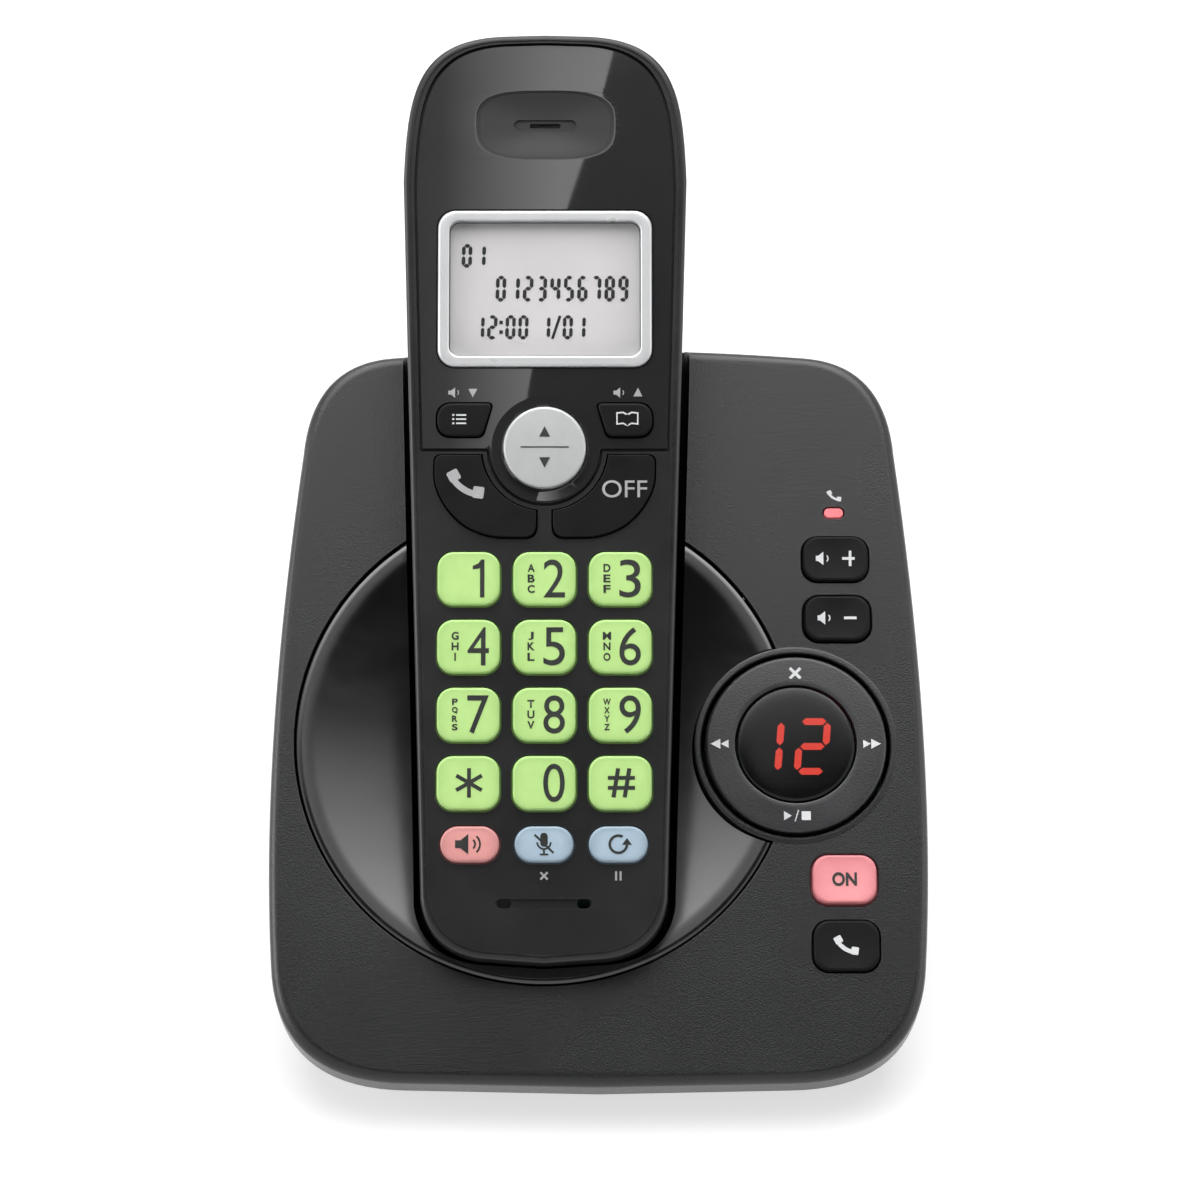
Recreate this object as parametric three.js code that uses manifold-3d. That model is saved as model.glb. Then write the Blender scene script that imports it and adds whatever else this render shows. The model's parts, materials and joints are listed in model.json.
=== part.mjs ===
// An answering machine: a wedge-shaped base with a cordless handset standing in its cradle.
// Millimetres, +Z up. The front faces -Y. The origin is under the middle of the whole object.
//
// Two tilted frames carry the pieces. The slope frame lies in the base's top face: x across, y up the slope,
// z out of the face. The grip frame lies in the handset's front face: x across, y up the handset, z out.

import * as THREE from 'three';
import { mergeVertices } from 'three/addons/utils/BufferGeometryUtils.js';
import Module from 'manifold-3d';

const wasm = await Module();
wasm.setup();

// Clearances that several pieces share
const gap = 0.3;
const weld = 0.0005;
const overrun = 4;
const roundSteps = 4;
const cornerSteps = 2;
const circleSides = 32;
const smallCircleSides = 12;
const upright = Math.PI / 2;
const roundEndShare = 0.48;

// Base
const slopeAngle = THREE.MathUtils.degToRad(30);
const frontEdgeHeight = 10;
const base = {
  halfWidth: 58.8,
  length: 137.2,
  coverDepth: 8,
  wall: 2,
  edgeRound: 1.9,
  footprintSideInset: 8,
  footprintFrontInset: 7,
  footprintBackInset: 11,
  bottomWall: 2,
};
const baseOutlineShares = {
  frontEnd: [0.578, 0.005],
  frontCorner: [0.973, 0.007],
  sideStart: [0.99, 0.16],
  sideBow: [1.034, 0.452],
  sideEnd: [0.918, 0.853],
  backCorner: [0.895, 0.98],
  backStart: [0.646, 0.989],
  backBow: [0.323, 1],
};

// Round dish in the top cover, with the pocket for the handset
const dish = {
  x: -9.7,
  y: 62.9,
  radius: 45,
  depth: 5.5,
  wall: 1.8,
  flange: 1.6,
  flangeDepth: 1.8,
  steps: 7,
};

// Four-way ring round the message window
const ring = {
  x: 35.4,
  y: 61.9,
  outer: 16.2,
  inner: 10.9,
  rise: 1,
  crown: 0.5,
  lip: 1.3,
  depth: 2.6,
  opening: 17.6,
  collarWall: 1.1,
  collarRise: 0.4,
  collarDepth: 6,
  padOuter: 16.4,
  padThickness: 1.75,
  rockClearance: 0.95,
};
const window = {
  radius: 10.5,
  rise: 1.3,
  rim: 0.5,
  brow: 7.9,
  browDrop: 0.125,
  barrel: 10,
  barrelDepth: 4,
};
const display = { width: 15, length: 12 };

// Buttons in the base's top face: x, y, width and length of each opening's button
const baseButtons = {
  volume_up_button: { x: 42.9, y: 96.6, width: 11.9, length: 8.3 },
  volume_down_button: { x: 43.1, y: 85.4, width: 11.9, length: 8.3 },
  answer_button: { x: 43.8, y: 37.1, width: 11.4, length: 8.8 },
  find_handset_button: { x: 44, y: 25.05, width: 11.7, length: 9.1 },
};
const baseButton = { corner: 2.8, rise: 1, flange: 0.8, depth: 5.1 };
const lamp = { x: 42.75, y: 105.5, width: 3.5, length: 1.8, rise: 0.2, depth: 6 };

// Layers inside the base, measured down from the top face
const baseLayers = { travel: 0.9, matThickness: 0.8, boardThickness: 1.6 };
const baseBoard = {
  left: 34.2,
  sideInset: 7.8,
  front: 14,
  back: 110,
  corner: 3,
  ringMargin: 1.2,
  coverMargin: 2,
  bossRadius: 2.4,
};
const baseBossShares = [[0.5, 0.03], [0.95, 0.663], [0.16, 0.958]];

// Parts of the base that stand on or in the bottom cover
const foot = { radius: 5.5, height: 1.5, seat: 0.9, insetX: 10, insetY: 11 };
const screw = {
  radius: 1.5,
  headRadius: 2.8,
  headHeight: 1.8,
  length: 14,
  x: 30,
  fromFront: 46,
  bossWall: 1.6,
};
const speaker = {
  radius: 20,
  height: 9,
  rimHeight: 2.25,
  magnetRadius: 10,
  x: -2,
  fromBack: 42,
  slotCount: 7,
  slotWidth: 1.6,
  slotPitch: 3.84,
};
const powerJack = {
  x: 22,
  z: 16,
  width: 11,
  height: 11,
  depth: 13,
  bore: 3.1,
  boreDepth: 9.5,
  pin: 0.7,
};
const lineJack = {
  x: -20,
  z: 16,
  width: 13,
  height: 12,
  depth: 14,
  holeWidth: 9.8,
  holeHeight: 6.8,
  holeDepth: 12,
};

// Handset
const gripAngle = THREE.MathUtils.degToRad(8);
const handset = {
  x: -9.6,
  foot: 19.1,
  rise: 7,
  halfWidth: 25,
  length: 169,
  faceRound: 1.6,
  frontDepth: 9,
  depth: 26,
  endDepth: 17.8,
  topDepth: 19.5,
  kink: 40,
  topStart: 142,
  wall: 1.7,
  skin: 1.6,
};
const handsetOutlineShares = {
  footMiddle: [0, 0.0077],
  footEnd: [0.44, 0.0124],
  footCorner: [0.824, 0.0201],
  sideStart: [0.872, 0.074],
  sideTop: [1, 0.74],
  shoulderPull: [0.994, 0.934],
  crownPull: [0.95, 0.9945],
  crownStart: [0.31, 0.9988],
};
const backRoundInset = 8;
const backRoundShares = [
  [0, 0.62],
  [0.15, 0.77],
  [0.44, 0.9],
  [1, 1],
];
const faceplate = {
  sideInset: 2.6,
  endInset: 2,
  groove: 1.1,
  rise: 0.1,
  seat: 1.5,
  lowerEdge: 93.2,
};
const screen = {
  y: 122.2,
  width: 38.35,
  length: 28.5,
  corner: 3.2,
  windowWidth: 33.7,
  windowLength: 24.1,
  windowCorner: 1.6,
  rise: 0.7,
  lensSink: 0.2,
  lensThickness: 0.9,
  lip: 1.1,
  moduleDepth: 2.8,
};
const ear = {
  y: 152.2,
  width: 25.4,
  length: 12.9,
  corner: 5,
  dip: 0.5,
  slitWidth: 5.6,
  slitLength: 0.9,
  speakerRadius: 7,
};
const mouth = {
  y: 11.9,
  width: 17.1,
  length: 1.7,
  dip: 0.6,
  holeX: 7,
  holeWidth: 2.4,
  micRadius: 2.4,
};

// Keys, measured from the middle line of the handset
const keyTravel = 1;
const keyFlange = 0.7;
const keyFlangeDepth = 0.9;
const keyBevel = 0.5;
const numberKeys = {
  columnPitch: 13.45,
  rowPitch: 12.15,
  topRow: 69.6,
  width: 11.1,
  length: 9.6,
  corner: 2.9,
  rise: 1.2,
};
const numberKeyNames = [
  ['key_1', 'key_2', 'key_3'],
  ['key_4', 'key_5', 'key_6'],
  ['key_7', 'key_8', 'key_9'],
  ['key_star', 'key_0', 'key_hash'],
];
const pillKeys = { y: 22.3, pitch: 13.1, width: 10.4, length: 6.4, rise: 1.1 };
const pillKeyNames = ['speakerphone_button', 'mute_button', 'redial_button'];
const menuKey = { radius: 7.35, rise: 1.7, crown: 0.7, crownStep: 0.23, ringWall: 1.5 };
const sideKey = {
  innerX: 9.3,
  outerX: 19.2,
  top: 101.3,
  bottom: 95.3,
  slant: 1.9,
  outerCorner: 2.9,
  innerCorner: 1.1,
};
const callKey = {
  innerX: 1.5,
  tailTop: 82,
  outerX: 19.6,
  top: 91.9,
  bottom: 77.1,
  ringClearance: 1,
  sweepX: 10.2,
  sweepY: 84.6,
  tailCorner: 2.6,
  topCorner: 1.3,
  rise: 0.9,
};

// Layers inside the handset
const layers = { matThickness: 0.8, boardThickness: 1.2 };
const handsetBoard = { inset: 3.3, endInset: 5 };
const battery = {
  cellCount: 2,
  cellRadius: 5.25,
  cellLength: 45,
  y: 68,
  roomWall: 1.2,
  roomDepth: 11.2,
};
const door = {
  halfWidth: 17,
  bottom: 40,
  top: 98,
  thickness: 1.6,
  gripDepth: 0.6,
  gripFromEnd: 6,
  gripPitch: 1.5,
};
const doorGrip = { ribCount: 3, ribWidth: 0.75, ribLength: 8.5 };
const rearSpeaker = { y: 128, radius: 9, depth: 4.5, slotCount: 5, slotWidth: 1.3, slotPitch: 2.8 };
const contact = {
  x: 8,
  y: 12,
  width: 3,
  length: 5,
  tipWidth: 2,
  tipLength: 3.4,
  root: 3.6,
};

// Cradle round the handset
const cradle = { sideMargin: 1.75, endMargin: 1, wall: 1.6, floorKink: 34, floorInset: 4, above: 40 };

// Joining and cutting closed meshes

function solidOf(geometry) {
  const bare = geometry.clone();
  bare.deleteAttribute('normal');
  bare.deleteAttribute('uv');
  const merged = mergeVertices(bare, weld);
  const vertProperties = new Float32Array(merged.attributes.position.array);
  const triVerts = new Uint32Array(merged.index.array);
  return new wasm.Manifold(new wasm.Mesh({ numProp: 3, vertProperties, triVerts }));
}

function geometryOf(solid) {
  const mesh = solid.getMesh();
  const geometry = new THREE.BufferGeometry();
  const positions = new Float32Array(mesh.numVert * 3);
  for (let i = 0; i < mesh.numVert; i += 1) {
    for (let axis = 0; axis < 3; axis += 1) {
      positions[i * 3 + axis] = mesh.vertProperties[i * mesh.numProp + axis];
    }
  }
  geometry.setAttribute('position', new THREE.BufferAttribute(positions, 3));
  geometry.setIndex(new THREE.BufferAttribute(new Uint32Array(mesh.triVerts), 1));
  geometry.computeVertexNormals();
  return geometry;
}

function joined(first, ...others) {
  return others.reduce((solid, other) => solid.add(other), first);
}

function cut(first, ...others) {
  return others.reduce((solid, other) => solid.subtract(other), first);
}

// Outlines are symmetric about x = 0: a list of points up the right-hand side, from the bottom middle to the
// top middle. A ring places every point of the outline, right side up and left side down.

function ringOf(side, place) {
  const right = side.map(([x, y]) => place(x, y));
  const left = side.slice(1, -1).reverse().map(([x, y]) => place(-x, y));
  return [...right, ...left];
}

function loft(rings) {
  const count = rings[0].length;
  const top = count / 2;
  const positions = rings.flat().flatMap((point) => [point.x, point.y, point.z]);
  const index = [];
  for (let level = 0; level < rings.length - 1; level += 1) {
    for (let i = 0; i < count; i += 1) {
      const a = level * count + i;
      const b = level * count + ((i + 1) % count);
      index.push(a, b, b + count, a, b + count, a + count);
    }
  }
  const addCap = (start, up) => {
    const face = (a, b, c) => index.push(start + a, start + (up ? b : c), start + (up ? c : b));
    face(0, 1, count - 1);
    for (let i = 1; i < top - 1; i += 1) {
      face(i, i + 1, count - i - 1);
      face(i, count - i - 1, count - i);
    }
    face(top - 1, top, top + 1);
  };
  addCap(0, false);
  addCap((rings.length - 1) * count, true);
  const geometry = new THREE.BufferGeometry();
  geometry.setAttribute('position', new THREE.Float32BufferAttribute(positions, 3));
  geometry.setIndex(index);
  return solidOf(geometry);
}

function prism(shape, low, high, bevel = 0) {
  const settings = { depth: high - low, bevelEnabled: false, curveSegments: cornerSteps };
  if (bevel > 0) {
    settings.bevelEnabled = true;
    settings.bevelSize = bevel;
    settings.bevelOffset = -bevel;
    settings.bevelThickness = bevel;
    settings.bevelSegments = 1;
    settings.depth = high - low - bevel * 2;
  }
  const geometry = new THREE.ExtrudeGeometry(shape, settings);
  geometry.translate(0, 0, low + bevel);
  return solidOf(geometry);
}

function roundedPolygon(points, radii) {
  const shape = new THREE.Shape();
  points.forEach((point, i) => {
    const before = points[(i + points.length - 1) % points.length];
    const after = points[(i + 1) % points.length];
    const corner = new THREE.Vector2(...point);
    const radius = radii[i];
    const from = new THREE.Vector2(...before).sub(corner).setLength(radius).add(corner);
    const to = new THREE.Vector2(...after).sub(corner).setLength(radius).add(corner);
    if (i === 0) shape.moveTo(from.x, from.y);
    else shape.lineTo(from.x, from.y);
    if (radius > 0) shape.quadraticCurveTo(corner.x, corner.y, to.x, to.y);
  });
  shape.closePath();
  return shape;
}

function roundedRectangle(x, y, width, length, corner) {
  const shape = new THREE.Shape();
  const left = x - width / 2;
  const bottom = y - length / 2;
  shape.moveTo(left + corner, bottom);
  shape.absarc(left + width - corner, bottom + corner, corner, -upright, 0, false);
  shape.absarc(left + width - corner, bottom + length - corner, corner, 0, upright, false);
  shape.absarc(left + corner, bottom + length - corner, corner, upright, Math.PI, false);
  shape.absarc(left + corner, bottom + corner, corner, Math.PI, Math.PI + upright, false);
  shape.closePath();
  return shape;
}

// A turned piece: profile points are radius and height, and its axis runs up through x, y
function turned(profile, x, y, sides = circleSides) {
  const points = profile.map(([radius, height]) => new THREE.Vector2(radius, height));
  const geometry = new THREE.LatheGeometry(points, sides);
  geometry.rotateX(upright);
  geometry.translate(x, y, 0);
  return solidOf(geometry);
}

function cylinder(x, y, radius, low, high, sides = circleSides) {
  return turned([[0, low], [radius, low], [radius, high], [0, high]], x, y, sides);
}

function tube(x, y, inner, outer, low, high, sides = circleSides) {
  return turned([[inner, low], [outer, low], [outer, high], [inner, high], [inner, low]], x, y, sides);
}

function block(x, y, z, width, length, height) {
  const geometry = new THREE.BoxGeometry(width, length, height);
  geometry.translate(x, y, z);
  return solidOf(geometry);
}

function slab(left, right, front, back, low, high) {
  const middle = [(left + right) / 2, (front + back) / 2, (low + high) / 2];
  return block(...middle, right - left, back - front, high - low);
}

// Finishes
const finishes = {
  matteBlack: { color: 0x3a3b3c, roughness: 0.75, metalness: 0 },
  glossBlack: { color: 0x18191a, roughness: 0.12, metalness: 0 },
  satinBlack: { color: 0x202122, roughness: 0.4, metalness: 0 },
  keyBlack: { color: 0x1c1c1d, roughness: 0.45, metalness: 0 },
  silver: { color: 0xc4c5c7, roughness: 0.35, metalness: 0.6 },
  glowGreen: { color: 0xcde8a3, roughness: 0.5, metalness: 0 },
  pink: { color: 0xf5a1a4, roughness: 0.5, metalness: 0 },
  blueGrey: { color: 0xaabecd, roughness: 0.5, metalness: 0 },
  red: { color: 0xff5041, roughness: 0.3, metalness: 0 },
  smoke: { color: 0x121213, roughness: 0.08, metalness: 0 },
  clear: { color: 0xd8dadb, roughness: 0.1, metalness: 0 },
  rubber: { color: 0x2a2a2a, roughness: 0.9, metalness: 0 },
  board: { color: 0x1f6b3a, roughness: 0.6, metalness: 0 },
  steel: { color: 0xb4b6b8, roughness: 0.3, metalness: 1 },
  brass: { color: 0xc9a24b, roughness: 0.3, metalness: 1 },
  sleeve: { color: 0x2f6fb0, roughness: 0.5, metalness: 0 },
};

function piece(group, name, solid, finish) {
  const mesh = new THREE.Mesh(geometryOf(solid), new THREE.MeshStandardMaterial(finishes[finish]));
  mesh.name = name;
  group.add(mesh);
}

// Base

function baseSide(sideInset, frontInset = sideInset, backInset = sideInset) {
  const halfWidth = base.halfWidth - sideInset;
  const length = base.length - frontInset - backInset;
  const at = ([across, along]) => [across * halfWidth, frontInset + along * length];
  const shares = baseOutlineShares;
  const side = new THREE.Path();
  side.moveTo(0, frontInset);
  side.lineTo(...at(shares.frontEnd));
  side.quadraticCurveTo(...at(shares.frontCorner), ...at(shares.sideStart));
  side.quadraticCurveTo(...at(shares.sideBow), ...at(shares.sideEnd));
  side.quadraticCurveTo(...at(shares.backCorner), ...at(shares.backStart));
  side.quadraticCurveTo(...at(shares.backBow), 0, frontInset + length);
  return side.getPoints(roundSteps + 1).map((point) => [point.x, point.y]);
}

const flatRing = (side, height) => ringOf(side, (x, y) => new THREE.Vector3(x, y, height));

function coverBlank(inset, low, high) {
  const side = baseSide(inset);
  return loft([flatRing(side, low), flatRing(side, high)]);
}

function coverBody() {
  const round = base.edgeRound;
  const stages = Array.from({ length: roundSteps }, (_, i) => ((i + 1) / roundSteps) * upright);
  const edge = stages.map((turn) => {
    const inset = round * (1 - Math.cos(turn));
    return flatRing(baseSide(inset), round * (Math.sin(turn) - 1));
  });
  const outside = loft([flatRing(baseSide(0), -base.coverDepth), flatRing(baseSide(0), -round), ...edge]);
  return cut(outside, coverBlank(base.wall, -base.coverDepth - overrun, -base.wall));
}

function buttonShape(button, grow) {
  const width = button.width + grow * 2;
  const length = button.length + grow * 2;
  return roundedRectangle(button.x, button.y, width, length, baseButton.corner + grow);
}

function lampShape(grow) {
  const { x, y, width, length } = lamp;
  return roundedRectangle(x, y, width + grow * 2, length + grow * 2, length * roundEndShare + grow);
}

function bosses(places, radius, low, high) {
  return joined(...places.map(([x, y]) => cylinder(x, y, radius, low, high, smallCircleSides)));
}

const matTop = -(baseButton.depth + baseLayers.travel + gap);
const matBottom = matTop - baseLayers.matThickness;
const boardTop = matBottom - gap;
const boardBottom = boardTop - baseLayers.boardThickness;

const boardRight = base.halfWidth - baseBoard.sideInset;

const bossPlaces = baseBossShares.map(([across, along]) => [
  baseBoard.left + across * (boardRight - baseBoard.left),
  baseBoard.front + along * (baseBoard.back - baseBoard.front),
]);

// Everything behind the dish's middle, where the trough leaves the dish
function upSlope() {
  return slab(-base.halfWidth, base.halfWidth, dish.y, base.length + overrun, -base.length, overrun);
}

function topCover(cradleSpace, cradleWall) {
  const reach = base.coverDepth + cradle.wall + gap;
  const underCover = coverBlank(gap, -reach, -base.wall);
  const trough = cradleWall.intersect(underCover).intersect(upSlope());
  const dishHole = cylinder(dish.x, dish.y, dish.radius, -reach - overrun, overrun);
  const collarOuter = ring.opening + ring.collarWall;
  const collar = cylinder(ring.x, ring.y, collarOuter, -ring.collarDepth, ring.collarRise);
  const ringHole = cylinder(ring.x, ring.y, ring.opening, -base.coverDepth - overrun, overrun);
  const below = -base.wall - overrun;
  const holes = Object.values(baseButtons).map((button) => prism(buttonShape(button, gap), below, overrun));
  const lampHole = prism(lampShape(gap), below, overrun);
  const posts = bosses(bossPlaces, baseBoard.bossRadius, boardTop + gap, -base.wall + gap);
  const shell = joined(cut(joined(coverBody(), trough), dishHole), collar, posts);
  return cut(shell, ringHole, cradleSpace, ...holes, lampHole);
}

function cradleDish(cradleSpace, cradleWall, cradleClear) {
  const outer = dish.radius - gap;
  const bowl = Array.from({ length: dish.steps + 1 }, (_, i) => {
    const radius = (outer * i) / dish.steps;
    return [radius, -dish.depth * (1 - (radius / outer) ** 2)];
  });
  const top = bowl.slice().reverse();
  const under = bowl.map(([radius, height]) => [radius, height - dish.wall]);
  const bowlShell = turned([...under, ...top], dish.x, dish.y);
  const flangeTop = -base.wall - gap;
  const flangeBottom = flangeTop - dish.flangeDepth;
  const dishColumn = cylinder(dish.x, dish.y, outer, -base.length, overrun);
  const troughWall = cut(cradleClear.intersect(upSlope()), dishColumn);
  const flange = cut(
    tube(dish.x, dish.y, outer - dish.wall, outer + dish.flange, flangeBottom, flangeTop),
    troughWall,
  );
  const rim = tube(dish.x, dish.y, outer - dish.wall, outer, flangeBottom, -dish.wall / 2);
  const below = turned([[0, -base.length], [outer, -base.length], ...top], dish.x, dish.y);
  const pocket = cradleWall.intersect(below);
  const collarHole = cylinder(ring.x, ring.y, ring.opening + ring.collarWall + gap, -base.length, overrun);
  return cut(joined(bowlShell, flange, rim, pocket), cradleSpace, collarHole);
}

function footprintPoint(x, y, inset, height) {
  const side = base.footprintSideInset + inset;
  const depth = base.length * Math.cos(slopeAngle);
  const front = base.footprintFrontInset + inset;
  const back = base.footprintBackInset + inset;
  const acrossShare = (base.halfWidth - side) / base.halfWidth;
  const along = front + (y / base.length) * (depth + base.coverDepth * Math.sin(slopeAngle) - front - back);
  return new THREE.Vector3(x * acrossShare, along, height);
}

// A point of the slope frame, in the upright frame of the base
function fromSlope(x, y, z) {
  return new THREE.Vector3(x, y, z).applyMatrix4(slopeToBase);
}

function bottomBlank(inset, seam, floor) {
  const outline = baseSide(0);
  const seamSide = baseSide(inset);
  const top = ringOf(seamSide, (x, y) => fromSlope(x, y, seam));
  const bottom = ringOf(outline, (x, y) => footprintPoint(x, y, inset, floor));
  return loft([bottom, top]);
}

function bottomCover(standing) {
  const seam = -base.coverDepth - gap;
  const outside = bottomBlank(0, seam, foot.height);
  const inside = bottomBlank(base.bottomWall, seam + overrun, foot.height + base.bottomWall);
  const { holes, posts } = standing;
  return cut(joined(cut(outside, inside), ...posts.map((post) => post.intersect(outside))), ...holes);
}

const slopeToBase = new THREE.Matrix4().makeRotationX(slopeAngle).setPosition(0, 0, frontEdgeHeight);
const gripToSlope = new THREE.Matrix4()
  .makeRotationX(gripAngle)
  .setPosition(handset.x, handset.foot, handset.rise);

// Handset outline and depth

function handsetSide(sideInset, endInset = sideInset) {
  const halfWidth = handset.halfWidth - sideInset;
  const length = handset.length - endInset * 2;
  const at = ([across, along]) => [across * halfWidth, endInset + along * length];
  const shares = handsetOutlineShares;
  const onSide = (y) => {
    const along = y / handset.length;
    const [lowAcross, lowAlong] = shares.sideStart;
    const [highAcross, highAlong] = shares.sideTop;
    return at([lowAcross + ((along - lowAlong) / (highAlong - lowAlong)) * (highAcross - lowAcross), along]);
  };
  const side = new THREE.Path();
  side.moveTo(...at(shares.footMiddle));
  side.lineTo(...at(shares.footEnd));
  side.quadraticCurveTo(...at(shares.footCorner), ...at(shares.sideStart));
  side.lineTo(...onSide(cradle.floorKink));
  side.lineTo(...onSide(handset.kink));
  side.lineTo(...at(shares.sideTop));
  side.lineTo(...onSide(handset.topStart));
  side.bezierCurveTo(...at(shares.shoulderPull), ...at(shares.crownPull), ...at(shares.crownStart));
  side.lineTo(0, endInset + length);
  return side.getPoints(roundSteps + 1).map((point) => [point.x, point.y]);
}

// Depth of the back behind the front face at a height up the handset
function backDepth(y, kink = handset.kink) {
  if (y < kink) return handset.endDepth + (Math.max(y, 0) / kink) * (handset.depth - handset.endDepth);
  if (y < handset.topStart) return handset.depth;
  const rise = (Math.min(y, handset.length) - handset.topStart) / (handset.length - handset.topStart);
  return handset.depth + rise ** 2 * (handset.topDepth - handset.depth);
}

function backRings(inset, wall) {
  return backRoundShares
    .map(([insetShare, depthShare]) =>
      ringOf(handsetSide(inset + insetShare * backRoundInset), (x, y) => {
        return new THREE.Vector3(x, y, -(backDepth(y) - wall) * depthShare);
      }),
    )
    .reverse();
}

const backBlank = (inset, wall, top) => loft([...backRings(inset, wall), flatRing(handsetSide(inset), top)]);

// The space that the cradle leaves for the handset, grown by a wall, in the slope frame
function cradleSolid(grow) {
  const place = (depth) => (x, y) => new THREE.Vector3(x, y, depth(y)).applyMatrix4(gripToSlope);
  const side = -cradle.sideMargin - grow;
  const end = -cradle.endMargin - grow;
  const floor = (y) => -(backDepth(y, cradle.floorKink) + gap + grow);
  return loft([
    ringOf(handsetSide(side + cradle.floorInset, end + cradle.floorInset), place(floor)),
    ringOf(handsetSide(side, end), place((y) => floor(y) + cradle.floorInset)),
    ringOf(handsetSide(side, end), place(() => cradle.above)),
  ]);
}

// A profile of heights up the handset and depths, run across it
function acrossProfile(points, halfWidth) {
  const shape = new THREE.Shape(points.map(([y, z]) => new THREE.Vector2(y, z)));
  const geometry = new THREE.ExtrudeGeometry(shape, { depth: halfWidth * 2, bevelEnabled: false });
  const turn = new THREE.Matrix4().makeBasis(
    new THREE.Vector3(0, 1, 0),
    new THREE.Vector3(0, 0, 1),
    new THREE.Vector3(1, 0, 0),
  );
  geometry.applyMatrix4(turn);
  geometry.translate(-halfWidth, 0, 0);
  return solidOf(geometry);
}

// Keys and buttons: a cap that fills its opening, over a flange that keeps it in

function keySolid(cap, flange, rise, flangeTop, flangeDepth, bottom) {
  const body = prism(cap, -bottom, rise, keyBevel);
  return joined(body, prism(flange, -flangeTop - flangeDepth, -flangeTop));
}

const flangeTop = faceplate.seat + handset.skin + gap;

function handsetKey(outline, rise) {
  const bottom = flangeTop + keyFlangeDepth;
  return keySolid(outline(0), outline(keyFlange), rise, flangeTop, keyFlangeDepth, bottom);
}

function numberKeyOutline(column, row) {
  const x = (column - 1) * numberKeys.columnPitch;
  const y = numberKeys.topRow - row * numberKeys.rowPitch;
  const { width, length, corner } = numberKeys;
  return (grow) => roundedRectangle(x, y, width + grow * 2, length + grow * 2, corner + grow);
}

function pillOutline(column) {
  const { y, pitch, width, length } = pillKeys;
  const x = (column - 1) * pitch;
  const corner = length * roundEndShare;
  return (grow) => roundedRectangle(x, y, width + grow * 2, length + grow * 2, corner + grow);
}

function sideKeyOutline(hand) {
  return (grow) => {
    const { innerX, outerX, top, bottom, slant, outerCorner, innerCorner } = sideKey;
    const points = [
      [hand * (outerX + grow), bottom - grow],
      [hand * (innerX + slant - grow), bottom - grow],
      [hand * (innerX - grow), top + grow],
      [hand * (outerX + grow), top + grow],
    ];
    const corners = [outerCorner, innerCorner, innerCorner, outerCorner];
    return roundedPolygon(
      points,
      corners.map((corner) => corner + grow / 2),
    );
  };
}

const menuGrooveRadius = menuKey.radius + menuKey.ringWall + faceplate.groove;

function callKeyOutline(hand) {
  return (grow) => {
    const { innerX, tailTop, outerX, top, bottom, sweepX, sweepY, tailCorner, topCorner } = callKey;
    const points = [
      [hand * (innerX - grow), bottom - grow],
      [hand * (innerX - grow), tailTop + grow],
      [hand * (innerX + grow), faceplate.lowerEdge],
      [hand * (innerX + tailTop - bottom), top + grow],
      [hand * (outerX + grow), top + grow],
      [hand * (outerX + grow), sweepY],
      [hand * sweepX, bottom - grow],
    ];
    return roundedPolygon(points, [tailCorner, 0, 0, 0, topCorner, tailCorner, tailCorner]);
  };
}

// The ring that the talk and off buttons curve round
function callKeyRing(shrink) {
  const radius = menuGrooveRadius + callKey.ringClearance - shrink;
  return cylinder(0, faceplate.lowerEdge, radius, -handset.depth, overrun);
}

function handsetOutlines() {
  const outlines = [];
  numberKeyNames.forEach((names, row) => {
    names.forEach((name, column) => {
      const outline = numberKeyOutline(column, row);
      outlines.push({ name, outline, rise: numberKeys.rise, finish: 'glowGreen' });
    });
  });
  const pillFinishes = ['pink', 'blueGrey', 'blueGrey'];
  pillKeyNames.forEach((name, column) => {
    outlines.push({ name, outline: pillOutline(column), rise: pillKeys.rise, finish: pillFinishes[column] });
  });
  return outlines;
}

// Handset

const handsetBlank = (sideInset, endInset, low, high) => {
  const side = handsetSide(sideInset, endInset);
  return loft([flatRing(side, low), flatRing(side, high)]);
};

function faceplateBlank(grow, low, high) {
  const panel = handsetBlank(faceplate.sideInset - grow, faceplate.endInset - grow, low, high);
  const upper = slab(
    -handset.halfWidth,
    handset.halfWidth,
    faceplate.lowerEdge - grow,
    handset.length,
    low - overrun,
    high + overrun,
  );
  const collar = cylinder(0, faceplate.lowerEdge, menuKey.radius + menuKey.ringWall + grow, low, high);
  return joined(panel.intersect(upper), collar);
}

function windowShape(grow) {
  const { y, windowWidth, windowLength, windowCorner } = screen;
  return roundedRectangle(0, y, windowWidth + grow * 2, windowLength + grow * 2, windowCorner);
}

function keyHoles(low, high) {
  const rows = handsetOutlines().map(({ outline }) => prism(outline(gap), low, high));
  const sides = [-1, 1].map((hand) => prism(sideKeyOutline(hand)(gap), low, high));
  const calls = [-1, 1].map((hand) => cut(prism(callKeyOutline(hand)(gap), low, high), callKeyRing(gap)));
  const menu = cylinder(0, faceplate.lowerEdge, menuKey.radius + gap, low, high);
  return joined(menu, ...rows, ...sides, ...calls);
}

function earSlit(low, high) {
  const { y, slitWidth, slitLength } = ear;
  return prism(roundedRectangle(0, y, slitWidth, slitLength, slitLength * roundEndShare), low, high);
}

function mouthHole(hand) {
  const { holeX, y, holeWidth, length } = mouth;
  const shape = roundedRectangle(hand * holeX, y, holeWidth, length, length * roundEndShare);
  return prism(shape, -handset.frontDepth, overrun);
}

const handsetMatTop = -(flangeTop + keyFlangeDepth + keyTravel + gap);
const handsetBoardTop = handsetMatTop - layers.matThickness - gap;
const handsetPostShares = [
  [-0.6, 0.045],
  [0.6, 0.045],
  [-0.8, 0.63],
  [0.8, 0.63],
  [-0.68, 0.9],
  [0.68, 0.9],
];

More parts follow.
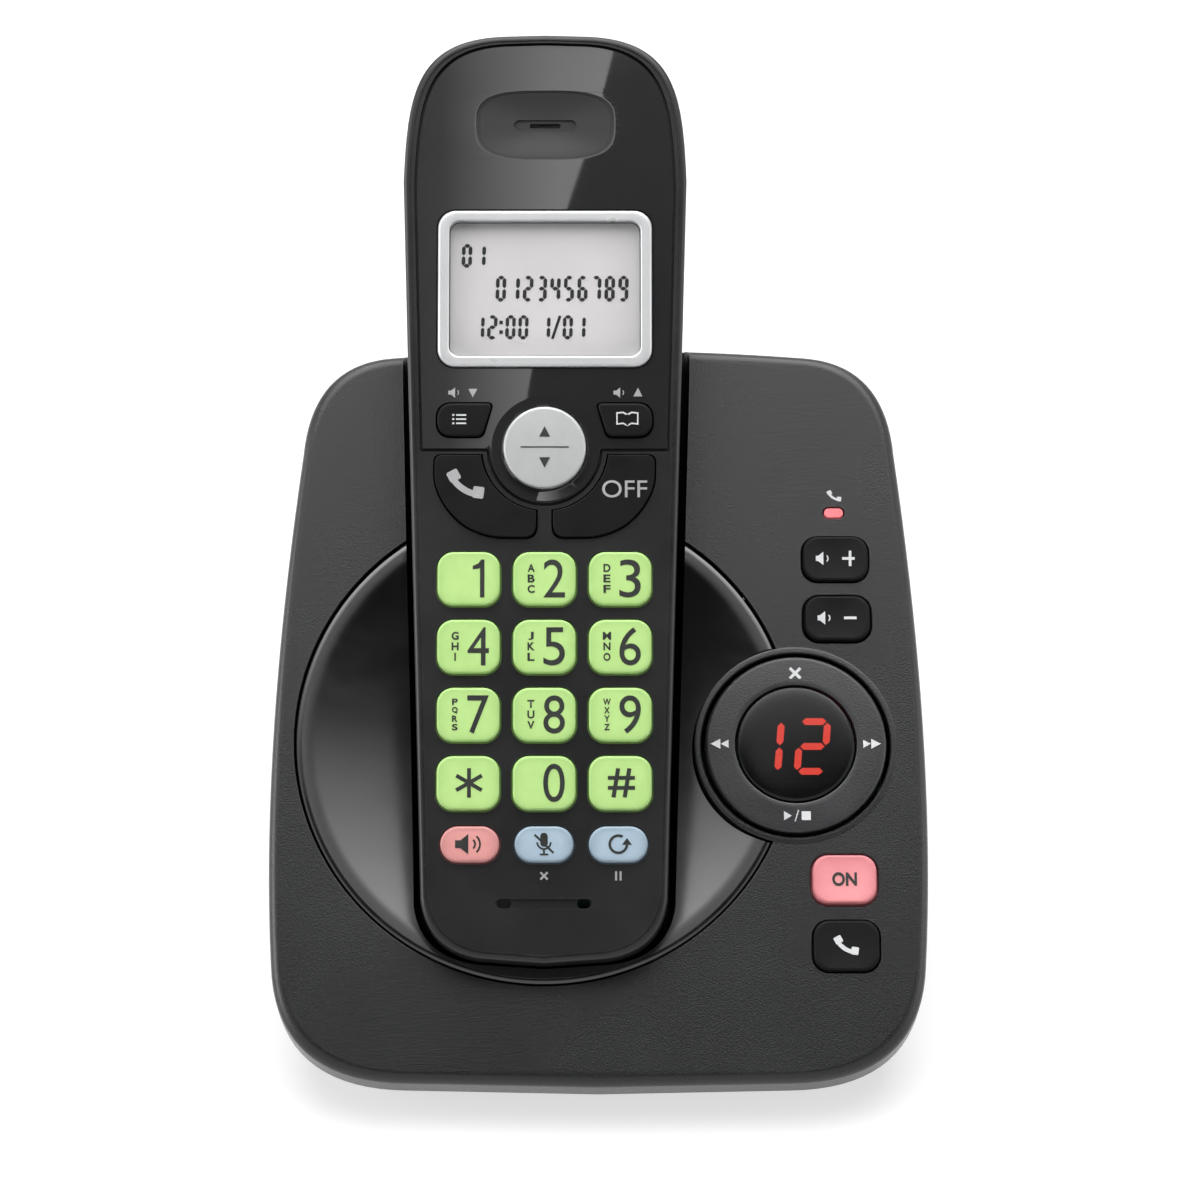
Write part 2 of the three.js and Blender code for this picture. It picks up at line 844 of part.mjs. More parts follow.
function handsetFrontCover() {
  const { faceRound, frontDepth, wall, skin } = handset;
  const stages = Array.from({ length: roundSteps }, (_, i) => ((i + 1) / roundSteps) * upright);
  const edge = stages.map((turn) =>
    flatRing(handsetSide(faceRound * (1 - Math.cos(turn))), faceRound * (Math.sin(turn) - 1)),
  );
  const side = handsetSide(0);
  const outside = loft([flatRing(side, -frontDepth), flatRing(side, -faceRound), ...edge]);
  const shell = cut(outside, handsetBlank(wall, wall, -frontDepth - overrun, -skin));
  const seatSkin = faceplateBlank(faceplate.groove + skin / 2, -faceplate.seat - skin, -skin / 2);
  const room = handsetBlank(wall / 2, wall / 2, -frontDepth, -skin / 2);
  const recess = faceplateBlank(faceplate.groove, -faceplate.seat, overrun);
  const window = prism(windowShape(-screen.lip), -frontDepth, overrun);
  const posts = handsetPostShares.map(([across, along]) => {
    const x = across * handset.halfWidth;
    const y = along * handset.length;
    return cylinder(x, y, handset.wall, handsetBoardTop + gap, -skin / 2, smallCircleSides);
  });
  const groove = prism(
    roundedRectangle(0, mouth.y, mouth.width, mouth.length, mouth.length * roundEndShare),
    -mouth.dip,
    overrun,
  );
  const holes = [keyHoles(-frontDepth, overrun), earSlit(-frontDepth, overrun), window, groove];
  const body = joined(shell, seatSkin.intersect(room), ...posts);
  return cut(body, recess, ...holes, mouthHole(-1), mouthHole(1));
}

function facePanel() {
  const low = -faceplate.seat + gap;
  const panel = faceplateBlank(0, low, faceplate.rise);
  const { width, length, corner, y } = screen;
  const frameShape = roundedRectangle(0, y, width + gap * 2, length + gap * 2, corner + gap);
  const frameHole = prism(frameShape, low - overrun, overrun);
  const dipShape = roundedRectangle(0, ear.y, ear.width, ear.length, ear.corner);
  const dip = prism(dipShape, faceplate.rise - ear.dip, overrun);
  return cut(panel, frameHole, dip, earSlit(low - overrun, overrun), keyHoles(low - overrun, overrun));
}

function displayFrame() {
  const { width, length, corner, y, rise } = screen;
  const outer = prism(roundedRectangle(0, y, width, length, corner), -faceplate.seat + gap, rise, keyBevel);
  return cut(outer, prism(windowShape(gap), -faceplate.seat, overrun));
}

function menuButton() {
  const { radius, rise, crown, crownStep } = menuKey;
  const profile = [
    [0, -flangeTop - keyFlangeDepth],
    [radius + keyFlange, -flangeTop - keyFlangeDepth],
    [radius + keyFlange, -flangeTop],
    [radius, -flangeTop],
    [radius, rise - crown],
    [radius - crown / 2, rise - crownStep],
    [radius - crown * 2, rise],
    [0, rise],
  ];
  return turned(profile, 0, faceplate.lowerEdge);
}

const doorSeat = door.thickness + gap;
const lowerSlope = Math.atan((handset.depth - handset.endDepth) / handset.kink);

function contactPlate(hand, grow) {
  const depth = handset.wall + handset.skin;
  const { width, length } = contact;
  const geometry = new THREE.BoxGeometry(width + grow * 2, length + grow * 2, depth + grow * 2);
  geometry.rotateX(-lowerSlope);
  const surface = -(backDepth(contact.y) - doorSeat);
  geometry.translate(hand * contact.x, contact.y, surface + depth / 2 - weld);
  return solidOf(geometry);
}

function slots(place, count, width, pitch, length, { low, high }) {
  return Array.from({ length: count }, (_, i) => {
    const y = place.y + (i - (count - 1) / 2) * pitch;
    return prism(roundedRectangle(place.x, y, length, width, width * roundEndShare), low, high);
  });
}

function handsetBackCover() {
  const { frontDepth, wall, depth, kink, endDepth, halfWidth } = handset;
  const outside = backBlank(0, 0, -frontDepth - gap);
  const inside = backBlank(wall, wall + doorSeat, overrun - frontDepth);
  const step = acrossProfile(
    [
      [-overrun, -depth - overrun],
      [kink, -depth - overrun],
      [kink, -depth + doorSeat],
      [0, -endDepth + doorSeat],
      [-overrun, -endDepth + doorSeat],
    ],
    halfWidth,
  );
  const roomX = battery.cellRadius * battery.cellCount + gap;
  const roomY = battery.cellLength / 2 + gap;
  const { roomWall, roomDepth, y } = battery;
  const roomOuter = slab(
    -roomX - roomWall,
    roomX + roomWall,
    y - roomY - roomWall,
    y + roomY + roomWall,
    -depth + doorSeat + wall / 2,
    -roomDepth + roomWall,
  );
  const room = slab(-roomX, roomX, y - roomY, y + roomY, -depth - overrun, -roomDepth);
  const seat = slab(
    -door.halfWidth - gap,
    door.halfWidth + gap,
    kink - overrun / 2,
    door.top + gap,
    -depth - overrun,
    -depth + doorSeat,
  );
  const place = { x: 0, y: rearSpeaker.y };
  const { slotCount, slotWidth, slotPitch, radius } = rearSpeaker;
  const through = { low: -depth - overrun, high: -depth + wall + doorSeat + overrun };
  const grille = slots(place, slotCount, slotWidth, slotPitch, radius, through);
  const plates = [contactPlate(-1, gap), contactPlate(1, gap)];
  return cut(joined(cut(outside, inside), roomOuter), step, room, seat, ...grille, ...plates);
}

function batteryDoor() {
  const { depth } = handset;
  const box = slab(
    -door.halfWidth,
    door.halfWidth,
    door.bottom + gap,
    door.top,
    -depth - overrun,
    -depth + door.thickness,
  );
  const place = { x: 0, y: door.bottom + door.gripFromEnd };
  const { ribCount, ribWidth, ribLength } = doorGrip;
  const reach = { low: -depth - overrun, high: -depth + door.gripDepth };
  const grip = slots(place, ribCount, ribWidth, door.gripPitch, ribLength, reach);
  return cut(box.intersect(backBlank(0, 0, 0)), ...grip);
}

function batteryPack() {
  const { cellRadius, cellLength, roomDepth, y } = battery;
  const width = cellRadius * 2 * battery.cellCount;
  const shape = roundedRectangle(0, 0, width, cellRadius * 2, cellRadius * roundEndShare * 2);
  const settings = { depth: cellLength, bevelEnabled: false, curveSegments: cornerSteps };
  const geometry = new THREE.ExtrudeGeometry(shape, settings);
  geometry.rotateX(upright);
  geometry.translate(0, y + cellLength / 2, -roomDepth - gap - cellRadius);
  return solidOf(geometry);
}

function addHandset(grip) {
  const add = (name, solid, finish) => piece(grip, name, solid, finish);
  add('handset_front_cover', handsetFrontCover(), 'satinBlack');
  add('handset_back_cover', handsetBackCover(), 'satinBlack');
  add('faceplate', facePanel(), 'glossBlack');
  add('display_frame', displayFrame(), 'silver');
  const lensTop = screen.rise - screen.lensSink - keyBevel;
  add('display_lens', prism(windowShape(0), lensTop - screen.lensThickness, lensTop), 'clear');

  const boardTop = handsetBoardTop;
  const moduleWidth = screen.windowWidth + screen.lip * 2;
  const moduleLength = screen.windowLength + screen.lip * 2;
  const moduleShape = roundedRectangle(0, screen.y, moduleWidth, moduleLength, screen.windowCorner);
  add('lcd_module', prism(moduleShape, boardTop + gap, boardTop + gap + screen.moduleDepth), 'clear');
  const { inset, endInset } = handsetBoard;
  const board = handsetBlank(inset, endInset, boardTop - layers.boardThickness, boardTop);
  add('handset_circuit_board', board, 'board');
  const mat = handsetBlank(inset, endInset, handsetMatTop - layers.matThickness, handsetMatTop);
  const keyZone = slab(
    -handset.halfWidth,
    handset.halfWidth,
    mouth.y + mouth.micRadius + gap,
    sideKey.top + keyFlange,
    -handset.depth,
    0,
  );
  add('handset_key_mat', mat.intersect(keyZone), 'rubber');

  handsetOutlines().forEach(({ name, outline, rise, finish }) => {
    add(name, handsetKey(outline, rise), finish);
  });
  add('menu_button', menuButton(), 'silver');
  add('call_list_button', handsetKey(sideKeyOutline(-1), callKey.rise), 'keyBlack');
  add('phonebook_button', handsetKey(sideKeyOutline(1), callKey.rise), 'keyBlack');
  [['talk_button', -1], ['off_button', 1]].forEach(([name, hand]) => {
    const cap = prism(callKeyOutline(hand)(0), -flangeTop - keyFlangeDepth, callKey.rise, keyBevel);
    const flange = prism(callKeyOutline(hand)(keyFlange), -flangeTop - keyFlangeDepth, -flangeTop);
    const menuColumn = cylinder(0, faceplate.lowerEdge, menuGrooveRadius, -handset.depth, 0);
    const clear = joined(callKeyRing(keyFlange), menuColumn);
    add(name, cut(joined(cut(cap, callKeyRing(0)), flange), clear), 'keyBlack');
  });

  add('earpiece_speaker', cylinder(0, ear.y, ear.speakerRadius, boardTop + gap, -flangeTop), 'steel');
  const micTop = -handset.skin - gap;
  const mic = cylinder(-mouth.holeX, mouth.y, mouth.micRadius, boardTop + gap, micTop, smallCircleSides);
  add('handset_microphone', mic, 'steel');
  const speakerBack = -(handset.depth - handset.wall - doorSeat) + gap;
  const rear = cylinder(0, rearSpeaker.y, rearSpeaker.radius, speakerBack, speakerBack + rearSpeaker.depth);
  add('handset_loudspeaker', rear, 'steel');
  add('battery_pack', batteryPack(), 'sleeve');
  add('battery_door', batteryDoor(), 'satinBlack');
  add('handset_contact_left', contactPlate(-1, 0), 'brass');
  add('handset_contact_right', contactPlate(1, 0), 'brass');
}

// Charge contacts that stand out of the pocket's floor, in the grip frame
function cradleContact(hand, grow) {
  const floor = -(backDepth(contact.y, cradle.floorKink) + gap);
  const tip = -(backDepth(contact.y) - doorSeat) - gap * 2;
  const root = floor - cradle.wall - contact.root;
  const { x, y, tipWidth, tipLength } = contact;
  const across = tipWidth / 2 + grow;
  const along = tipLength / 2 + grow;
  return slab(hand * x - across, hand * x + across, y - along, y + along, root - grow, tip + grow);
}

function boardShape(inset) {
  const { left, front, back, corner, ringMargin, coverMargin } = baseBoard;
  const strip = roundedRectangle(
    (left + boardRight) / 2,
    (front + back) / 2,
    boardRight - left - inset * 2,
    back - front - inset * 2,
    corner,
  );
  return (low, high) => {
    const disc = cylinder(ring.x, ring.y, ring.opening - ringMargin - inset, low, high);
    const insideCover = coverBlank(base.wall + coverMargin + inset, low - overrun, high + overrun);
    return joined(prism(strip, low, high), disc).intersect(insideCover);
  };
}

function addSlopePieces(slope) {
  const add = (name, solid, finish) => piece(slope, name, solid, finish);
  const wall = cradleSolid(cradle.wall);
  const contactHoles = [-1, 1].map((hand) => cradleContact(hand, gap).transform(flat(gripToSlope)));
  const space = joined(cradleSolid(0), ...contactHoles);
  add('base_top_cover', topCover(cradleSolid(0), wall), 'matteBlack');
  add('cradle_dish', cradleDish(space, wall, cradleSolid(cradle.wall + gap)), 'glossBlack');

  const ringProfile = [
    [ring.inner, -ring.depth],
    [ring.outer, -ring.depth],
    [ring.outer, ring.rise - ring.crown],
    [ring.outer - ring.crown, ring.rise],
    [ring.inner + ring.lip, ring.rise - ring.crown / 2],
    [ring.inner, ring.rise - ring.crown],
    [ring.inner, -ring.depth],
  ];
  add('control_ring', turned(ringProfile, ring.x, ring.y), 'satinBlack');
  const padTop = -ring.depth - ring.rockClearance;
  const pad = tube(ring.x, ring.y, ring.inner, ring.padOuter, padTop - ring.padThickness, padTop);
  add('ring_rubber_pad', pad, 'rubber');
  const { radius, rise, rim, brow, browDrop, barrel, barrelDepth } = window;
  const lens = [
    [0, -barrelDepth],
    [barrel, -barrelDepth],
    [barrel, 0],
    [radius, 0],
    [radius, rise - rim],
    [brow, rise - browDrop],
    [0, rise],
  ];
  add('message_window', turned(lens, ring.x, ring.y), 'smoke');
  const screenShape = roundedRectangle(ring.x, ring.y, display.width, display.length, rim);
  add('message_display', prism(screenShape, boardTop + gap, -barrelDepth - gap), 'red');

  const buttonFinish = { answer_button: 'pink' };
  Object.entries(baseButtons).forEach(([name, button]) => {
    const { rise: height, flange, depth } = baseButton;
    const cap = buttonShape(button, 0);
    const under = buttonShape(button, flange);
    const solid = keySolid(cap, under, height, base.wall + gap, flange, depth);
    add(name, solid, buttonFinish[name] ?? 'keyBlack');
  });
  add('in_use_lens', prism(lampShape(0), -lamp.depth, lamp.rise), 'red');

  const mat = boardShape(baseLayers.matThickness)(matBottom, matTop);
  const matHoles = bosses(bossPlaces, baseBoard.bossRadius + gap, -base.length, 0);
  const displayHole = cylinder(ring.x, ring.y, ring.inner, -base.length, 0);
  add('base_key_mat', cut(mat, matHoles, displayHole), 'rubber');
  add('base_circuit_board', boardShape(0)(boardBottom, boardTop), 'board');
}

const flat = (matrix) => {
  const e = matrix.elements;
  return [e[0], e[1], e[2], 0, e[4], e[5], e[6], 0, e[8], e[9], e[10], 0, e[12], e[13], e[14], 1];
};

// Pieces that stand or sit in the bottom cover

const baseDepth = base.length * Math.cos(slopeAngle) + base.coverDepth * Math.sin(slopeAngle);
const floorTop = foot.height + base.bottomWall;

const footPlaces = [-1, 1].flatMap((hand) => {
  const x = hand * (base.halfWidth - base.footprintSideInset - foot.insetX);
  return [
    ['front', base.footprintFrontInset + foot.insetY],
    ['back', baseDepth - base.footprintBackInset - foot.insetY],
  ].map(([end, y]) => ({ name: `rubber_foot_${end}_${hand < 0 ? 'left' : 'right'}`, x, y }));
});

function screwSolid(x, grow) {
  const { radius, headRadius, headHeight, length, fromFront } = screw;
  const low = foot.height + gap;
  const profile = [
    [0, low - (grow > 0 ? overrun : 0)],
    [headRadius + grow, low - (grow > 0 ? overrun : 0)],
    [headRadius + grow, low + headHeight + grow],
    [radius + grow, low + headHeight + grow],
    [radius + grow, low + length + grow],
    [0, low + length + grow],
  ];
  return turned(profile, x, fromFront, smallCircleSides);
}

// The back wall leans outwards as it rises, so a jack's face lies where the wall is at its height
function backWallY(z) {
  const low = baseDepth - base.footprintBackInset;
  const seam = fromSlope(0, base.length, -base.coverDepth - gap);
  return low + ((z - foot.height) / (seam.z - foot.height)) * (seam.y - low);
}

function jackBlock(jack, grow) {
  const back = backWallY(jack.z - jack.height / 2) - gap;
  return slab(
    jack.x - jack.width / 2 - grow,
    jack.x + jack.width / 2 + grow,
    back - jack.depth - grow,
    back + (grow > 0 ? overrun : 0),
    jack.z - jack.height / 2 - grow,
    jack.z + jack.height / 2 + grow,
  );
}

function powerJackSolid() {
  const { x, z, bore, boreDepth, pin } = powerJack;
  const back = backWallY(z - powerJack.height / 2) - gap;
  const hollow = tube(0, 0, pin, bore, 0, boreDepth + overrun, smallCircleSides);
  const turn = new THREE.Matrix4().makeRotationX(-upright).setPosition(x, back - boreDepth, z);
  return cut(jackBlock(powerJack, 0), hollow.transform(flat(turn)));
}

function lineJackSolid() {
  const { x, z, holeWidth, holeHeight, holeDepth } = lineJack;
  const back = backWallY(z - lineJack.height / 2) - gap;
  const hollow = slab(
    x - holeWidth / 2,
    x + holeWidth / 2,
    back - holeDepth,
    back + overrun,
    z - holeHeight / 2,
    z + holeHeight / 2,
  );
  return cut(jackBlock(lineJack, 0), hollow);
}

function addStandingPieces(upper) {
  const add = (name, solid, finish) => piece(upper, name, solid, finish);
  const footTop = foot.height + foot.seat;
  const feet = footPlaces.map(({ x, y }) => cylinder(x, y, foot.radius + gap, 0, footTop, circleSides / 2));
  const speakerY = baseDepth - base.footprintBackInset - speaker.fromBack;
  const { slotCount, slotWidth, slotPitch, radius, height, rimHeight, magnetRadius } = speaker;
  const through = { low: 0, high: floorTop + overrun };
  const vents = slots({ x: speaker.x, y: speakerY }, slotCount, slotWidth, slotPitch, radius, through);
  const screws = [-screw.x, screw.x];
  const posts = screws.map((x) => {
    const bossRadius = screw.headRadius + screw.bossWall;
    const top = floorTop + screw.length;
    return cylinder(x, screw.fromFront, bossRadius, foot.height, top, circleSides / 2);
  });
  const jacks = [jackBlock(powerJack, gap), jackBlock(lineJack, gap)];
  const holes = [...feet, ...vents, ...screws.map((x) => screwSolid(x, gap)), ...jacks];
  add('base_bottom_cover', bottomCover({ holes, posts }), 'matteBlack');
  footPlaces.forEach(({ name, x, y }) => {
    add(name, cylinder(x, y, foot.radius, 0, footTop - gap, circleSides / 2), 'rubber');
  });
  screws.forEach((x, i) => add(`case_screw_${i === 0 ? 'left' : 'right'}`, screwSolid(x, 0), 'steel'));
  const low = floorTop + gap;
  const profile = [
    [0, low],
    [radius, low],
    [radius, low + rimHeight],
    [magnetRadius, low + rimHeight * 2],
    [magnetRadius, low + height],
    [0, low + height],
  ];
  add('base_speaker', turned(profile, speaker.x, speakerY), 'steel');
  add('power_jack', powerJackSolid(), 'keyBlack');
  add('line_jack', lineJackSolid(), 'keyBlack');
}

function place(group, matrix) {
  matrix.decompose(group.position, group.quaternion, group.scale);
  return group;
}

const machine = new THREE.Group();
const standing = new THREE.Group();
const slope = place(new THREE.Group(), slopeToBase);
const grip = place(new THREE.Group(), gripToSlope);
machine.add(standing);
standing.add(slope);
slope.add(grip);

addStandingPieces(standing);
addSlopePieces(slope);
addHandset(grip);
piece(grip, 'charge_contact_left', cradleContact(-1, 0), 'brass');
piece(grip, 'charge_contact_right', cradleContact(1, 0), 'brass');

// The origin lies under the middle of the whole object
machine.updateMatrixWorld(true);
const bounds = new THREE.Box3().setFromObject(machine, true);
const middle = bounds.getCenter(new THREE.Vector3());
standing.position.set(-middle.x, -middle.y, -bounds.min.z);
machine.updateMatrixWorld(true);

export default machine;
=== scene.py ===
"""An answering machine: a wedge-shaped base with a round glossy dish, and a cordless handset in its cradle.

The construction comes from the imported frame. This script gives every surface its final shape and finish.
Each sub-assembly is modelled in millimetres in its own tilted frame and then set into the object's frame.
"""

import json
import logging
import math
from collections.abc import Callable, Iterable, Sequence
from dataclasses import dataclass
from enum import Enum

import bmesh
import bpy
from mathutils import Euler, Matrix, Vector

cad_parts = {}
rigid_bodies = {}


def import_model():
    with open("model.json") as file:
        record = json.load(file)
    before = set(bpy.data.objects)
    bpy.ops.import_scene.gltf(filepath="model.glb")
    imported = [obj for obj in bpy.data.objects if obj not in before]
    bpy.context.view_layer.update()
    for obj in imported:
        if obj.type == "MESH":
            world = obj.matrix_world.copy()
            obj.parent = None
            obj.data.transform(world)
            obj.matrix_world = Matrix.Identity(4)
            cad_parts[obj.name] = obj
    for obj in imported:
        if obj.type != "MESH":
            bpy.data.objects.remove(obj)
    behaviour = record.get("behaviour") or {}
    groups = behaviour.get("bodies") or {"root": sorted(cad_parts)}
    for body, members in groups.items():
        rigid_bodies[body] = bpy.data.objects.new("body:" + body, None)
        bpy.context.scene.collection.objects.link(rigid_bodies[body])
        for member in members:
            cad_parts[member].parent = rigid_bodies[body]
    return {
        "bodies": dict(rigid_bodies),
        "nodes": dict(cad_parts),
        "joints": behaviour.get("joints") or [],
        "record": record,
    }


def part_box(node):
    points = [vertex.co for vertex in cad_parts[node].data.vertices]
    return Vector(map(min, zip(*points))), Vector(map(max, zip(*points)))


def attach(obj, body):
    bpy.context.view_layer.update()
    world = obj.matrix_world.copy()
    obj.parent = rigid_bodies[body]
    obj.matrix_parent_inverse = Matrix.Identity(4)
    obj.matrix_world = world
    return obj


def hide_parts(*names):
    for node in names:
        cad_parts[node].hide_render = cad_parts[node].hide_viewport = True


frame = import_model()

logging.basicConfig(level=logging.INFO, format="%(message)s")
LOG = logging.getLogger("answering_machine")

MM = 0.001
FULL_TURN = math.tau
QUARTER_TURN = math.pi / 2
SMOOTH_ANGLE = math.radians(38)
# In millimetres: the play between neighbours, the distance at which points merge, and how far tools reach past a part
GAP = 0.3
WELD = 0.0008
REACH = 60.0
ABOVE = 4.0
# Corner radius of a round-ended slot as a share of its width; a full half would leave doubled points
ROUND_END_SHARE = 0.495
WHITE = (1, 1, 1, 1)

Point = tuple[float, float]
Shade = tuple[float, float, float]
Ring = list[Vector]
Mesh = bpy.types.Object
Socket = bpy.types.NodeSocket


class Hand(Enum):
    """The side of the handset's middle line that a piece lies on."""

    LEFT = -1
    RIGHT = 1


# Working in edit mode


def deselect() -> None:
    """Leave edit mode and deselect everything, as every operator here expects."""
    if bpy.context.object is not None and bpy.context.object.mode != "OBJECT":
        bpy.ops.object.mode_set(mode="OBJECT")
    bpy.ops.object.select_all(action="DESELECT")


def take(piece: Mesh) -> Mesh:
    """Make a piece the only selected and active one.

    Args:
        piece: The object to work on.

    Returns:
        The same object.
    """
    deselect()
    piece.select_set(True)
    bpy.context.view_layer.objects.active = piece
    return piece


def edit(piece: Mesh) -> None:
    """Open a piece in edit mode with all of it selected.

    Args:
        piece: The object to open.
    """
    take(piece)
    bpy.ops.object.mode_set(mode="EDIT")
    bpy.ops.mesh.select_all(action="SELECT")


def close_edit() -> None:
    """Go back to object mode."""
    bpy.ops.object.mode_set(mode="OBJECT")


def select_edges(piece: Mesh, wanted: Callable[[Vector, Vector], bool]) -> int:
    """Select, in edit mode, the edges whose two ends pass a test.

    Args:
        piece: The object that is open in edit mode.
        wanted: Takes both ends of an edge and says whether it is wanted.

    Returns:
        How many edges were selected.
    """
    bpy.ops.mesh.select_all(action="DESELECT")
    bpy.ops.mesh.select_mode(type="EDGE")
    body = bmesh.from_edit_mesh(piece.data)
    count = 0
    for edge in body.edges:
        if wanted(edge.verts[0].co, edge.verts[1].co):
            edge.select_set(True)
            count += 1
    body.select_flush_mode()
    bmesh.update_edit_mesh(piece.data)
    return count


def bevel_edges(piece: Mesh, wanted: Callable[[Vector, Vector], bool], width: float, segments: int = 4) -> Mesh:
    """Round the edges that pass a test.

    Args:
        piece: The object to round.
        wanted: Takes both ends of an edge and says whether it is wanted.
        width: How far the rounding reaches from the edge.
        segments: Steps in the rounding.

    Returns:
        The same object.
    """
    edit(piece)
    if select_edges(piece, wanted):
        bpy.ops.mesh.bevel(offset=width, segments=segments, profile=0.5, affect="EDGES", clamp_overlap=True)
    close_edit()
    return piece


def level_edges(height: float) -> Callable[[Vector, Vector], bool]:
    """Make a test for edges that lie at one height."""
    return lambda a, b: abs(a.z - height) < WELD * 5 and abs(b.z - height) < WELD * 5


def finish_edit(piece: Mesh) -> Mesh:
    """Merge doubled points, drop loose ones and turn all faces outwards.

    Args:
        piece: A closed mesh.

    Returns:
        The same object.
    """
    edit(piece)
    bpy.ops.mesh.remove_doubles(threshold=WELD)
    bpy.ops.mesh.delete_loose()
    bpy.ops.mesh.select_all(action="SELECT")
    bpy.ops.mesh.normals_make_consistent(inside=False)
    close_edit()
    return piece


def start_circle(name: str, corners: Sequence[Sequence[float]], fill: str = "NGON") -> Mesh:
    """Add a circle and set its points on given corners.

    Args:
        name: The piece's name.
        corners: The place of each corner.
        fill: How the circle is filled.

    Returns:
        The new object.
    """
    deselect()
    bpy.ops.mesh.primitive_circle_add(vertices=len(corners), radius=1, fill_type=fill)
    piece = bpy.context.object
    piece.name = name
    for vertex, corner in zip(piece.data.vertices, corners):
        vertex.co = corner
    return piece


def plate(name: str, outline: Sequence[Point], low: float, high: float, edge: float = 0.0, steps: int = 4) -> Mesh:
    """Model a flat piece from an outline, with its upper rim rounded.

    Args:
        name: The piece's name.
        outline: Points round the outline.
        low: Height of its underside.
        high: Height of its top.
        edge: Radius of the upper rim.
        steps: Steps in the rounding.

    Returns:
        The new object.
    """
    piece = start_circle(name, [(x, y, low) for x, y in outline])
    edit(piece)
    bpy.ops.mesh.extrude_region_move(TRANSFORM_OT_translate={"value": (0, 0, high - low)})
    close_edit()
    finish_edit(piece)
    if edge > 0:
        bevel_edges(piece, level_edges(high), edge, steps)
    return piece


def turned(name: str, profile: Sequence[Point], centre: Point = (0.0, 0.0), steps: int = 96) -> Mesh:
    """Model a turned piece by spinning a closed profile about an upright axis.

    Args:
        name: The piece's name.
        profile: Radius and height of each point of the profile.
        centre: Where the axis stands.
        steps: Steps in the full turn.

    Returns:
        The new object.
    """
    piece = start_circle(name, [(centre[0] + radius, centre[1], height) for radius, height in profile], "NOTHING")
    edit(piece)
    bpy.ops.mesh.spin(steps=steps, angle=FULL_TURN, center=(centre[0], centre[1], 0), axis=(0, 0, 1))
    close_edit()
    return finish_edit(piece)


def drum(name: str, radius: float, low: float, high: float, centre: Point, steps: int = 96) -> Mesh:
    """Model a plain drum on an upright axis, most often a tool for a round opening."""
    return turned(name, [(0, low), (radius, low), (radius, high), (0, high)], centre, steps)


def block(name: str, corner: Point, opposite: Point, low: float, high: float) -> Mesh:
    """Model a plain block between two opposite corners and two heights."""
    (left, near), (right, far) = corner, opposite
    return plate(name, [(left, near), (right, near), (right, far), (left, far)], low, high)


def lofted(name: str, rings: Sequence[Ring]) -> Mesh:
    """Model a closed body through rings that all have the same number of points.

    Args:
        name: The piece's name.
        rings: Rings from one end of the body to the other.

    Returns:
        The new object.
    """
    piece = start_circle(name, rings[0], "NOTHING")
    body = bmesh.new()
    rows = [[body.verts.new(point) for point in ring] for ring in rings]
    for below, above in zip(rows, rows[1:]):
        for i in range(len(below)):
            j = (i + 1) % len(below)
            body.faces.new((below[i], below[j], above[j], above[i]))
    for row in (rows[0], rows[-1]):
        half = len(row) // 2
        for i in range(half):
            corners = [row[i], row[i + 1], row[-i - 1], row[-i]]
            body.faces.new(dict.fromkeys(corners))
    bmesh.ops.recalc_face_normals(body, faces=body.faces)
    body.to_mesh(piece.data)
    body.free()
    return finish_edit(piece)


def ring_body(name: str, rings: Sequence[Ring]) -> Mesh:
    """Join rings of corners into one ring-shaped body, the last ring to the first.

    Args:
        name: The piece's name.
        rings: Rings with equally many corners, in the order in which they go round the body's section.

    Returns:
        The new object.
    """
    deselect()
    bpy.ops.mesh.primitive_torus_add(major_segments=len(rings[0]), minor_segments=len(rings))
    piece = bpy.context.object
    piece.name = name
    for index, vertex in enumerate(piece.data.vertices):
        corner, ring = divmod(index, len(rings))
        vertex.co = rings[ring][corner]
    return finish_edit(piece)


def lofted_prism(name: str, ends: Sequence[Ring]) -> Mesh:
    """Model a prism between two equal end faces of any shape.

    Args:
        name: The piece's name.
        ends: The corners of both end faces, in the same order.

    Returns:
        The new object.
    """
    piece = start_circle(name, ends[0])
    edit(piece)
    bpy.ops.mesh.extrude_region_move(TRANSFORM_OT_translate={"value": ends[1][0] - ends[0][0]})
    close_edit()
    return finish_edit(piece)


def apply_boolean(piece: Mesh, tools: Iterable[Mesh], operation: str) -> Mesh:
    """Cut, join or intersect a piece with tools, which are used up.

    Args:
        piece: The object that is changed.
        tools: The objects to cut or join with.
        operation: DIFFERENCE, UNION or INTERSECT.

    Returns:
        The changed object.
    """
    for tool in tools:
        take(piece)
        step = piece.modifiers.new("join", "BOOLEAN")
        step.operation = operation
        step.solver = "EXACT"
        step.object = tool
        bpy.ops.object.modifier_apply(modifier=step.name)
        bpy.data.objects.remove(tool)
    return piece


def cut(piece: Mesh, *tools: Mesh) -> Mesh:
    """Cut tools out of a piece; the tools are used up."""
    return apply_boolean(piece, tools, "DIFFERENCE")


def join_solid(piece: Mesh, *tools: Mesh) -> Mesh:
    """Fuse tools to a piece; the tools are used up."""
    return apply_boolean(piece, tools, "UNION")


def merge(name: str, parts: Sequence[Mesh]) -> Mesh:
    """Gather separate bodies in one object.

    Args:
        name: The name of the object that is left.
        parts: The objects to gather.

    Returns:
        The object that holds them all.
    """
    take(parts[0])
    for part in parts:
        part.select_set(True)
    bpy.ops.object.join()
    whole = bpy.context.object
    whole.name = name
    return whole


